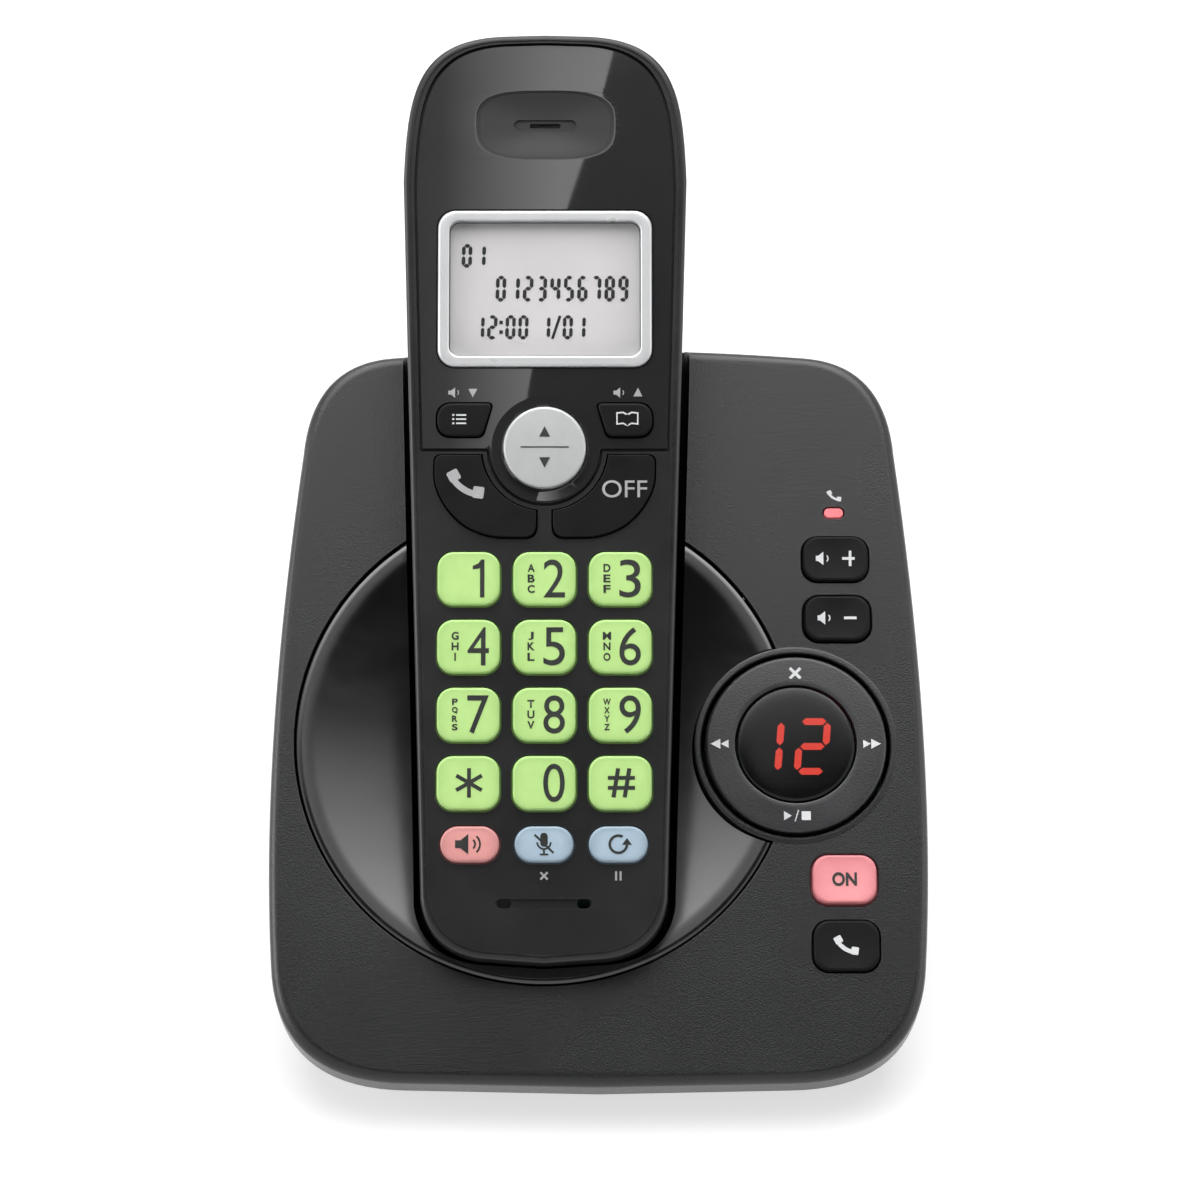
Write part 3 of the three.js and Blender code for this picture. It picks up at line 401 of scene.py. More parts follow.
def smooth(piece: Mesh, angle: float = SMOOTH_ANGLE) -> Mesh:
    """Shade a piece smooth, with true flats and crisp corners.

    Args:
        piece: The object to shade.
        angle: Corners sharper than this stay crisp.

    Returns:
        The same object.
    """
    take(piece)
    bpy.ops.object.shade_smooth_by_angle(angle=angle, keep_sharp_edges=True)
    step = piece.modifiers.new("flats", "WEIGHTED_NORMAL")
    step.keep_sharp = True
    step.weight = 100
    bpy.ops.object.modifier_apply(modifier=step.name)
    return piece


# Outlines


def quadratic(start: Point, pull: Point, end: Point, steps: int) -> list[Point]:
    """Sample a quadratic curve, leaving out its first point.

    Args:
        start: Where the curve starts.
        pull: Its control point.
        end: Where it ends.
        steps: Number of points.

    Returns:
        The points.
    """
    points = []
    for i in range(1, steps + 1):
        t = i / steps
        a, b, c = (1 - t) ** 2, 2 * t * (1 - t), t * t
        points.append(tuple(a * s + b * p + c * e for s, p, e in zip(start, pull, end)))
    return points


def cubic(start: Point, pull: Point, push: Point, end: Point, steps: int) -> list[Point]:
    """Sample a cubic curve, leaving out its first point.

    Args:
        start: Where the curve starts.
        pull: Its first control point.
        push: Its second control point.
        end: Where it ends.
        steps: Number of points.

    Returns:
        The points.
    """
    points = []
    for i in range(1, steps + 1):
        t = i / steps
        shares = ((1 - t) ** 3, 3 * t * (1 - t) ** 2, 3 * t * t * (1 - t), t**3)
        points.append(tuple(sum(k * v for k, v in zip(shares, values)) for values in zip(start, pull, push, end)))
    return points


def rounded_box(x: float, y: float, width: float, length: float, corner: float, steps: int = 8) -> list[Point]:
    """Outline of a rectangle with round corners.

    Args:
        x: Middle of the rectangle, across.
        y: Middle of the rectangle, upwards.
        width: Its width.
        length: Its length.
        corner: Radius of its corners.
        steps: Steps in each corner.

    Returns:
        The outline's points.
    """
    points = []
    corners = ((1, -1, -1), (1, 1, 0), (-1, 1, 1), (-1, -1, 2))
    for side, end, quarter in corners:
        middle = (x + side * (width / 2 - corner), y + end * (length / 2 - corner))
        for i in range(steps + 1):
            turn = (quarter + i / steps) * QUARTER_TURN
            points.append((middle[0] + corner * math.cos(turn), middle[1] + corner * math.sin(turn)))
    return points


def pill(x: float, y: float, width: float, length: float, steps: int = 8) -> list[Point]:
    """Outline of a slot with round ends."""
    return rounded_box(x, y, width, length, min(width, length) * ROUND_END_SHARE, steps)


def rounded_polygon(points: Sequence[Point], radii: Sequence[float], steps: int = 6) -> list[Point]:
    """Outline of a polygon whose corners are rounded off.

    Args:
        points: The polygon's corners.
        radii: How far each rounding reaches along its sides.
        steps: Steps in each rounding.

    Returns:
        The outline's points.
    """
    outline: list[Point] = []
    for i, corner in enumerate(points):
        here = Vector(corner)
        before = here + (Vector(points[i - 1]) - here).normalized() * radii[i]
        after = here + (Vector(points[(i + 1) % len(points)]) - here).normalized() * radii[i]
        outline.append(tuple(before))
        if radii[i] > 0:
            outline.extend(quadratic(tuple(before), corner, tuple(after), steps))
    return outline


def rounding(radius: float, steps: int) -> list[Point]:
    """Steps up a rounded edge: how far each is drawn in, and its height from the top, which is zero or less."""
    turns = [QUARTER_TURN * i / steps for i in range(steps + 1)]
    return [(radius * (1 - math.cos(t)), radius * (math.sin(t) - 1)) for t in turns]


def ring_of(side: Sequence[Point], place: Callable[[float, float], Vector]) -> Ring:
    """Turn the right-hand side of a symmetric outline into a full ring."""
    left = [(-x, y) for x, y in reversed(side[1:-1])]
    return [place(x, y) for x, y in [*side, *left]]


def flat_ring(side: Sequence[Point], height: float) -> Ring:
    """A full ring at one height, from the right-hand side of a symmetric outline."""
    return ring_of(side, lambda x, y: Vector((x, y, height)))


# Finishes


def linear(colour: Sequence[float]) -> tuple[float, float, float, float]:
    """Turn a screen colour into the shader's linear colour."""
    shares = [value / 255 for value in colour]
    return (*[s / 12.92 if s <= 0.04045 else ((s + 0.055) / 1.055) ** 2.4 for s in shares], 1.0)


class Tree:
    """A node tree that is built up by short calls."""

    def __init__(self, tree: bpy.types.NodeTree) -> None:
        """Start from an empty tree."""
        self.tree = tree
        tree.nodes.clear()

    def add(self, kind: str, settings: dict | None = None, **inputs: object) -> bpy.types.Node:
        """Add a node.

        Args:
            kind: The node's type, without its ShaderNode prefix.
            settings: Properties of the node itself.
            inputs: Values or sockets for its inputs, by name with _ for a space, or by i and the input's number.

        Returns:
            The new node.
        """
        prefix = "" if kind.startswith("Node") else "ShaderNode"
        node = self.tree.nodes.new(prefix + kind)
        for key, value in (settings or {}).items():
            setattr(node, key, value)
        for key, value in inputs.items():
            numbered = key[0] == "i" and key[1:].isdigit()
            self.feed(node.inputs[int(key[1:]) if numbered else key.replace("_", " ")], value)
        return node

    def feed(self, socket: Socket, value: object) -> None:
        """Set a socket to a value, or link it to another node's socket.

        Args:
            socket: The input to feed.
            value: A plain value, a node or a socket.
        """
        if isinstance(value, bpy.types.NodeSocket):
            self.tree.links.new(value, socket)
        elif isinstance(value, bpy.types.Node):
            self.tree.links.new(value.outputs[0], socket)
        else:
            socket.default_value = value

    def maths(self, operation: str, first: object, second: object = 0.0, clamp: bool = False) -> bpy.types.Node:
        """Add a maths node; its result is the first output."""
        return self.add("Math", {"operation": operation, "use_clamp": clamp}, i0=first, i1=second)

    def blend(self, share: object, first: object, second: object, mode: str = "MIX") -> Socket:
        """Mix two colours and give the resulting socket."""
        node = self.add("Mix", {"data_type": "RGBA", "blend_type": mode}, i0=share, i6=first, i7=second)
        return node.outputs[2]

    def stretch(
        self, value: object, low: float, high: float, to_low: float = 0.0, to_high: float = 1.0
    ) -> bpy.types.Node:
        """Map one range of a value onto another, held at its ends."""
        return self.add("MapRange", {"clamp": True}, i0=value, i1=low, i2=high, i3=to_low, i4=to_high)


def new_material(name: str) -> tuple[bpy.types.Material, Tree]:
    """Make a material and give it with its empty tree.

    Args:
        name: The material's name.

    Returns:
        The material and its empty tree.
    """
    material = bpy.data.materials.new(name)
    material.use_nodes = True
    return material, Tree(material.node_tree)


def node_group(name: str, inputs: Sequence[tuple], outputs: Sequence[tuple]) -> tuple[bpy.types.NodeTree, Tree]:
    """Make a shader node group with its sockets.

    Args:
        name: The group's name.
        inputs: Name, socket type and default of each input.
        outputs: Name and socket type of each output.

    Returns:
        The group and the builder of its tree.
    """
    group = bpy.data.node_groups.new(name, "ShaderNodeTree")
    for label, kind, default in inputs:
        socket = group.interface.new_socket(name=label, in_out="INPUT", socket_type="NodeSocket" + kind)
        socket.default_value = default
    for label, kind in outputs:
        group.interface.new_socket(name=label, in_out="OUTPUT", socket_type="NodeSocket" + kind)
    return group, Tree(group)


def moulded_group() -> bpy.types.NodeTree:
    """Make the group that every moulded surface uses: slow mottling, fine grain and specks of dust.

    Returns:
        The group, with Color, Roughness and Normal outputs.
    """
    group, tree = node_group(
        "moulded_surface",
        [
            ("Color", "Color", (0.1, 0.1, 0.1, 1)),
            ("Second Color", "Color", (0.12, 0.12, 0.12, 1)),
            ("Mottle Size", "Float", 12.0),
            ("Roughness", "Float", 0.5),
            ("Roughness Spread", "Float", 0.08),
            ("Grain Size", "Float", 0.4),
            ("Grain Height", "Float", 0.01),
            ("Dust", "Float", 0.05),
        ],
        [("Color", "Color"), ("Roughness", "Float"), ("Normal", "Vector")],
    )
    given = tree.add("NodeGroupInput").outputs
    place = tree.add("TexCoord").outputs["Object"]
    in_mm = tree.add("VectorMath", {"operation": "SCALE"}, i0=place, Scale=1 / MM).outputs[0]
    slow_scale = tree.maths("DIVIDE", 1.0, given["Mottle Size"])
    slow = tree.add("TexNoise", Vector=in_mm, Scale=slow_scale, Detail=3.0, Roughness=0.55)
    slow_share = tree.stretch(slow.outputs[0], 0.32, 0.68)
    colour = tree.blend(slow_share.outputs[0], given["Color"], given["Second Color"])
    grain_scale = tree.maths("DIVIDE", 1.0, given["Grain Size"])
    grain = tree.add("TexNoise", Vector=in_mm, Scale=grain_scale, Detail=2.0, Roughness=0.6)
    grain_share = tree.stretch(grain.outputs[0], 0.3, 0.7)
    specks = tree.add("TexNoise", Vector=in_mm, Scale=1.9, Detail=4.0, Roughness=0.7)
    speck_share = tree.stretch(specks.outputs[0], 0.62, 0.78)
    dust = tree.maths("MULTIPLY", speck_share, given["Dust"])
    dusty = tree.blend(dust, colour, (0.45, 0.44, 0.42, 1))
    wander = tree.maths("SUBTRACT", slow_share, 0.5)
    swing = tree.maths("MULTIPLY", wander, given["Roughness Spread"])
    rough = tree.maths("ADD", given["Roughness"], swing)
    rough_dust = tree.maths("ADD", rough, tree.maths("MULTIPLY", dust, 0.6), clamp=True)
    height = tree.maths("MULTIPLY", given["Grain Height"], MM)
    bump = tree.add("Bump", Strength=1.0, Distance=height, Height=grain_share)
    tree.add("NodeGroupOutput", Color=dusty, Roughness=rough_dust, Normal=bump)
    return group


def wear_group() -> bpy.types.NodeTree:
    """Make the group that lightens and polishes the corners that hands rub.

    Returns:
        The group, with Color and Roughness outputs.
    """
    group, tree = node_group(
        "rubbed_edges",
        [
            ("Color", "Color", (0.1, 0.1, 0.1, 1)),
            ("Worn Color", "Color", (0.2, 0.2, 0.2, 1)),
            ("Roughness", "Float", 0.5),
            ("Wear", "Float", 0.5),
        ],
        [("Color", "Color"), ("Roughness", "Float")],
    )
    given = tree.add("NodeGroupInput").outputs
    flat = tree.add("NewGeometry").outputs["Normal"]
    rounded = tree.add("Bevel", {"samples": 4}, Radius=0.5 * MM).outputs[0]
    agree = tree.add("VectorMath", {"operation": "DOT_PRODUCT"}, i0=flat, i1=rounded).outputs[1]
    place = tree.add("TexCoord").outputs["Object"]
    patches = tree.add("TexNoise", Vector=place, Scale=220.0, Detail=4.0, Roughness=0.7)
    edge = tree.stretch(agree, 0.995, 0.93)
    broken = tree.maths("MULTIPLY", edge, tree.stretch(patches.outputs[0], 0.35, 0.6))
    amount = tree.maths("MULTIPLY", broken, given["Wear"], clamp=True)
    colour = tree.blend(amount, given["Color"], given["Worn Color"])
    less = tree.maths("MULTIPLY", amount, 0.25)
    rough = tree.maths("SUBTRACT", given["Roughness"], less, clamp=True)
    tree.add("NodeGroupOutput", Color=colour, Roughness=rough)
    return group


def smudge_group() -> bpy.types.NodeTree:
    """Make the group of faint wiping marks that show on glossy surfaces.

    Returns:
        The group, with a Roughness output.
    """
    group, tree = node_group(
        "wiped_gloss",
        [("Roughness", "Float", 0.1), ("Marks", "Float", 0.1)],
        [("Roughness", "Float")],
    )
    given = tree.add("NodeGroupInput").outputs
    place = tree.add("TexCoord").outputs["Object"]
    leaning = tree.add("Mapping", Vector=place, Rotation=(0.3, 0.0, 0.6), Scale=(45.0, 160.0, 90.0))
    streaks = tree.add("TexNoise", Vector=leaning, Scale=1.0, Detail=5.0, Roughness=0.65, Distortion=0.6)
    share = tree.stretch(streaks.outputs[0], 0.48, 0.72)
    added = tree.maths("MULTIPLY", share, given["Marks"])
    rough = tree.maths("ADD", given["Roughness"], added, clamp=True)
    tree.add("NodeGroupOutput", Roughness=rough)
    return group


@dataclass(frozen=True)
class Finish:
    """How one material looks, with colours as seen on a screen and sizes in millimetres."""

    name: str
    colour: Shade
    second: Shade
    roughness: float
    spread: float = 0.08
    mottle: float = 12.0
    grain: float = 0.4
    grain_height: float = 0.01
    dust: float = 0.04
    wear: float = 0.0
    worn: Shade = (120, 120, 120)
    marks: float = 0.0
    metallic: float = 0.0
    specular: float = 0.5
    # glow is emission; on the keys, the pink button and the screen it is a painted glow
    glow: float = 0.0
    # rim is the colour of painted shade towards the border of the keys and the screen
    rim: Shade | None = None
    clear: float = 0.0
    dip_roughness: float = 0.0


class Palette:
    """All the materials, made once and found again by finish."""

    def __init__(self) -> None:
        """Make the node groups that the materials share."""
        self.moulded = moulded_group()
        self.rubbed = wear_group()
        self.wiped = smudge_group()
        self.made: dict[str, bpy.types.Material] = {}

    def get(self, finish: Finish) -> bpy.types.Material:
        """Find the material of a finish, or make it.

        Args:
            finish: The finish that is wanted.

        Returns:
            Its material.
        """
        if finish.name not in self.made:
            self.made[finish.name] = self.build(finish)
        return self.made[finish.name]

    def build(self, finish: Finish) -> bpy.types.Material:
        """Build the node tree of a moulded, painted or metal finish.

        Args:
            finish: The finish to build.

        Returns:
            The new material.
        """
        material, tree = new_material(finish.name)
        material.diffuse_color = linear(finish.colour)
        surface = tree.add(
            "Group", {"node_tree": self.moulded}, Color=linear(finish.colour), Second_Color=linear(finish.second),
            Mottle_Size=finish.mottle, Roughness=finish.roughness, Roughness_Spread=finish.spread,
            Grain_Size=finish.grain, Grain_Height=finish.grain_height, Dust=finish.dust,
        )
        colour, rough = surface.outputs["Color"], surface.outputs["Roughness"]
        # Painted shade: the colour darkens towards the border of the keys and the screen
        if finish.rim is not None:
            colour = self.paint_rim_shade(tree, colour, finish.rim)
        if finish.wear > 0:
            worn = tree.add(
                "Group", {"node_tree": self.rubbed}, Color=colour, Roughness=rough,
                Worn_Color=linear(finish.worn), Wear=finish.wear,
            )
            colour, rough = worn.outputs["Color"], worn.outputs["Roughness"]
        if finish.dip_roughness > 0:
            rough = self.soften_dip(tree, rough, finish.dip_roughness)
        if finish.marks > 0:
            wiped = tree.add("Group", {"node_tree": self.wiped}, Roughness=rough, Marks=finish.marks)
            rough = wiped.outputs["Roughness"]
        shader = tree.add(
            "BsdfPrincipled", Base_Color=colour, Roughness=rough, Normal=surface.outputs["Normal"],
            Metallic=finish.metallic, Specular_IOR_Level=finish.specular,
        )
        # Emission; on the keys, the pink button and the screen it is a painted glow
        if finish.glow > 0:
            tree.feed(shader.inputs["Emission Color"], colour)
            shader.inputs["Emission Strength"].default_value = finish.glow
        surface_out = shader.outputs[0]
        if finish.clear > 0:
            surface_out = self.see_through(tree, surface_out, colour, finish.clear)
            material.surface_render_method = "BLENDED"
        tree.add("OutputMaterial", Surface=surface_out)
        return material

    @staticmethod
    def see_through(tree: Tree, shader: Socket, tint: Socket, share: float) -> Socket:
        """Let light pass through a lens, less of it at a slant, where the gloss takes over.

        Args:
            tree: The material's tree.
            shader: The lens's own shader.
            tint: The colour that the light takes on.
            share: The share that passes straight through.

        Returns:
            The socket of the mixed shader.
        """
        outside = tree.maths("SUBTRACT", 1.0, tree.add("NewGeometry").outputs["Backfacing"])
        gloss = tree.maths("MULTIPLY", tree.add("Fresnel", IOR=1.5), outside)
        through = tree.maths("SUBTRACT", share, gloss, clamp=True)
        passed = tree.add("BsdfTransparent", Color=WHITE)
        if share < 0.9:
            tree.feed(passed.inputs["Color"], tree.blend(0.35, tint, WHITE))
        return tree.add("MixShader", i0=through.outputs[0], i1=shader, i2=passed.outputs[0]).outputs[0]

    @staticmethod
    def paint_rim_shade(tree: Tree, colour: Socket, rim: Shade) -> Socket:
        """Paint shade at the border of a piece that has a border map, by blending its colour towards a darker one.

        Args:
            tree: The material's tree.
            colour: The colour in the middle.
            rim: The colour of the painted shade at the border.

        Returns:
            The socket of the blended colour.
        """
        across = tree.add("UVMap", {"uv_map": "border"}).outputs[0]
        parts = tree.add("SeparateXYZ", Vector=across).outputs
        squares = [tree.maths("POWER", tree.maths("ABSOLUTE", part), 4.0) for part in parts[:2]]
        reach = tree.maths("ADD", squares[0], squares[1])
        share = tree.stretch(reach, 0.1, 1.15)
        return tree.blend(share.outputs[0], colour, linear(rim))

    @staticmethod
    def soften_dip(tree: Tree, rough: Socket, added: float) -> Socket:
        """Make the middle of a piece's border map less polished than the rest.

        Args:
            tree: The material's tree.
            rough: The roughness outside.
            added: How much rougher the middle is.

        Returns:
            The socket of the roughness.
        """
        across = tree.add("UVMap", {"uv_map": "border"}).outputs[0]
        parts = tree.add("SeparateXYZ", Vector=across).outputs
        powers = [tree.maths("POWER", tree.maths("ABSOLUTE", part), 3.2) for part in parts[:2]]
        share = tree.stretch(tree.maths("ADD", *powers), 1.02, 0.72)
        return tree.maths("ADD", rough, tree.maths("MULTIPLY", share, added)).outputs[0]


def map_border(piece: Mesh, outline: Sequence[Point]) -> Mesh:
    """Give a key a map that runs from -1 to 1 across it, for finishes that change towards the border: painted shade at
    the rim, or a rougher middle.

    Args:
        piece: The key.
        outline: The outline that the key was made from.

    Returns:
        The same object.
    """
    low_x, high_x = min(x for x, _ in outline), max(x for x, _ in outline)
    low_y, high_y = min(y for _, y in outline), max(y for _, y in outline)
    layer = piece.data.uv_layers.new(name="border")
    for loop, corner in zip(piece.data.loops, layer.data):
        place = piece.data.vertices[loop.vertex_index].co
        across = 2 * (place.x - low_x) / (high_x - low_x) - 1
        along = 2 * (place.y - low_y) / (high_y - low_y) - 1
        corner.uv = (across, along)
    return piece


# The two tilted frames


@dataclass(frozen=True)
class Places:
    """Where the two tilted frames stand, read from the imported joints."""

    slope: Matrix
    grip: Matrix
    grip_to_slope: Matrix

    @staticmethod
    def from_joints(joints: Sequence[dict], ring_centre: Point, grip_origin: tuple[float, float, float]) -> "Places":
        """Work out the frames from the way the keys and buttons move.

        Args:
            joints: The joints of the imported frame.
            ring_centre: Where the four-way ring's middle is in the slope frame.
            grip_origin: The handset's frame in the slope frame.

        Returns:
            The frames, from millimetres to the object's metres.
        """
        named = {joint["name"]: joint for joint in joints}
        slope_turn = Places.turn(named["answer_button_press"]["axis"])
        grip_turn = Places.turn(named["key_1_press"]["axis"])
        ring_place = Vector(named["ring_rock_up_down"]["pos_m"])
        origin = ring_place - slope_turn @ Vector((*ring_centre, 0.0)) * MM
        slope = Matrix.Translation(origin) @ slope_turn.to_4x4() @ Matrix.Scale(MM, 4)
        grip_to_slope = Matrix.Translation(grip_origin) @ (slope_turn.inverted() @ grip_turn).to_4x4()
        return Places(slope, slope @ grip_to_slope, grip_to_slope)

    @staticmethod
    def turn(press: Sequence[float]) -> Matrix:
        """The turn of a face whose keys are pressed along a direction."""
        angle = math.atan2(press[1], -press[2])
        return Matrix.Rotation(angle, 3, "X")


@dataclass
class Kit:
    """What every sub-assembly needs to add its pieces to the scene."""

    places: Places
    palette: Palette
    slots: set[str]
    count: int = 0

    def add(
        self,
        piece: Mesh,
        frame: Matrix,
        body: str,
        finish: Finish,
        slot: str,
        replaces: Sequence[str] = (),
        smooth_angle: float = SMOOTH_ANGLE,
    ) -> Mesh:
        """Set a finished piece in its place and hand it to the frame.

        Args:
            piece: The piece, modelled in millimetres.
            frame: The tilted frame it was modelled in.
            body: The moving body it rides on.
            finish: Its finish.
            slot: The record's material slot; not used.
            replaces: Construction nodes it stands for.
            smooth_angle: Corners sharper than this stay crisp.

        Returns:
            The same piece.
        """
        take(piece)
        piece.data.transform(frame)
        piece.data.update()
        smooth(piece, smooth_angle)
        piece.data.materials.clear()
        piece.data.materials.append(self.palette.get(finish))
        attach(piece, body)
        slot in self.slots
        if replaces:
            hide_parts(*replaces)
        self.count += 1
        LOG.info("%3d %-28s %6d faces, on %s", self.count, piece.name, len(piece.data.polygons), body)
        return piece

    def dress(self, node: str, finish: Finish) -> None:
        """Give a construction node that stays in the scene its finish.

        Args:
            node: The construction node.
            finish: Its finish.
        """
        piece = bpy.data.objects[node]
        piece.data.materials.clear()
        piece.data.materials.append(self.palette.get(finish))
        LOG.info("    %-28s stays, in %s", node, finish.name)


def print_finish(name: str, colour: Shade, second: Shade) -> Finish:
    """The finish of printed lettering."""
    return Finish(name, colour, second, 0.5, 0.1, 3.0, 0.3, 0.002, 0.0)


def painted_glow_key_finish(name: str, colour: Shade, second: Shade, mottle: float, glow: float, rim: Shade) -> Finish:
    """The finish of a moulded key with a little painted glow and painted shade at its rim."""
    return Finish(name, colour, second, 0.42, 0.1, mottle, 0.3, 0.004, 0.0, glow=glow, rim=rim)


class Look:
    """The finishes of the whole object. The numbers stand in the order of the fields of Finish."""

    MATTE = Finish(
        "matte_black_plastic", (16, 17, 18), (21, 22, 23), 0.27, 0.06, 30.0, 0.26, 0.024, 0.05, 0.3,
        (96, 96, 98),
    )
    SIDE = Finish(
        "satin_dark_plastic", (24, 25, 27), (30, 31, 33), 0.4, 0.1, 25.0, 0.35, 0.01, 0.015, 0.3,
        (92, 92, 96),
    )
    GLOSS = Finish(
        "gloss_black_plastic", (10, 10, 11), (14, 14, 15), 0.17, 0.04, 40.0, 6.0, 0.004, 0.0,
        marks=0.06, specular=0.95,
    )
    PLATE = Finish(
        "polished_faceplate", (39, 39, 40), (44, 44, 45), 0.012, 0.0, 35.0, 1.2, 0.0, 0.01,
        marks=0.006, specular=0.6, dip_roughness=0.3,
    )
    HANDSET = Finish(
        "handset_black_plastic", (13, 13, 14), (17, 17, 18), 0.36, 0.08, 20.0, 0.3, 0.008, 0.012, 0.3,
        (80, 80, 82),
    )
    KEY_DARK = Finish("dark_key_rubber", (17, 17, 18), (22, 22, 23), 0.5, 0.08, 8.0, 0.3, 0.006, 0.02, specular=0.12)
    SILVER = Finish(
        "satin_silver_paint", (218, 219, 220), (203, 204, 205), 0.32, 0.1, 14.0, 0.2, 0.006, 0.0,
        metallic=0.35,
    )
    BUTTON_SILVER = Finish(
        "moulded_silver_paint", (196, 198, 198), (184, 186, 186), 0.38, 0.1, 6.0, 0.22, 0.006, 0.0,
        metallic=0.25,
    )
    # These keys and the base's pink button get a painted glow and painted shade towards their rims
    GREEN = painted_glow_key_finish("glowing_green_key", (186, 222, 140), (176, 214, 130), 4.0, 0.12, (160, 200, 118))
    PINK = painted_glow_key_finish("pink_button", (234, 150, 154), (226, 140, 145), 5.0, 0.08, (206, 120, 126))
    PINK_PILL = painted_glow_key_finish("pink_pill_key", (224, 156, 152), (214, 146, 142), 4.0, 0.1, (178, 118, 118))
    BLUE = painted_glow_key_finish("blue_grey_pill_key", (170, 190, 204), (160, 180, 196), 4.0, 0.1, (126, 144, 158))
    RING = Finish(
        "satin_ring_plastic", (36, 36, 38), (44, 44, 46), 0.34, 0.1, 12.0, 0.3, 0.02, 0.05, 0.3,
        (104, 104, 106),
    )
    DISPLAY_BLACK = Finish("black_display", (9, 9, 10), (14, 14, 15), 0.5, 0.1, 5.0, 0.5, 0.004, 0.0)
    # The display gets a painted glow, and painted shade along its border where the frame shades it
    SCREEN = Finish(
        "liquid_crystal_grey", (226, 223, 224), (219, 216, 217), 0.55, 0.1, 16.0, 0.25, 0.002, 0.0,
        glow=0.02, rim=(196, 194, 195),
    )
    SCREEN_DARK = Finish("liquid_crystal_segment", (8, 8, 9), (13, 13, 14), 0.5, 0.1, 6.0, 0.5, 0.001, 0.0)
    LEGEND_WHITE = print_finish("printed_white", (222, 223, 224), (208, 209, 211))
    LEGEND_GREY = print_finish("printed_grey", (176, 176, 177), (162, 162, 164))
    LEGEND_DARK = print_finish("printed_black", (22, 26, 22), (32, 36, 31))
    RED_DIGIT = Finish("red_segment", (255, 70, 56), (255, 84, 68), 0.4, 0.1, 2.0, 0.5, 0.001, 0.0, glow=30.0)
    LAMP = Finish("pale_red_lamp", (238, 126, 132), (230, 112, 120), 0.25, 0.1, 1.5, 0.5, 0.004, 0.0, glow=0.25)
    RUBBER = Finish("black_rubber", (34, 34, 34), (42, 42, 42), 0.85, 0.1, 5.0, 0.3, 0.02, 0.12)
    BOARD = Finish("green_circuit_board", (26, 84, 46), (36, 100, 58), 0.45, 0.15, 3.0, 1.2, 0.02, 0.0)
    STEEL = Finish("brushed_steel", (176, 178, 181), (150, 152, 156), 0.3, 0.15, 4.0, 0.15, 0.004, 0.0, metallic=1.0)
    BRASS = Finish("plated_brass", (214, 178, 96), (190, 152, 74), 0.26, 0.15, 2.0, 0.3, 0.003, 0.0, metallic=1.0)
    SLEEVE = Finish("blue_shrink_sleeve", (44, 98, 162), (52, 110, 176), 0.35, 0.1, 8.0, 1.0, 0.01, 0.0)
    CLEAR = Finish(
        "clear_screen_lens", (52, 53, 53), (60, 61, 61), 0.12, 0.05, 20.0, 2.0, 0.001, 0.0,
        marks=0.06, clear=0.985,
    )
    SMOKE = Finish(
        "smoked_window_lens", (10, 10, 11), (16, 16, 17), 0.2, 0.04, 14.0, 3.0, 0.001, 0.0,
        marks=0.03, clear=0.45,
    )


# The base


def mirrored_side(curves: Sequence[Sequence[Point]], start: Point) -> list[Point]:
    """Join curves into the right-hand side of an outline, from the bottom middle to the top middle.

    Args:
        curves: The curves, each without its first point.
        start: The bottom middle.

    Returns:
        The points of the side.
    """
    side = [start]
    for curve in curves:
        side.extend(curve)
    return side


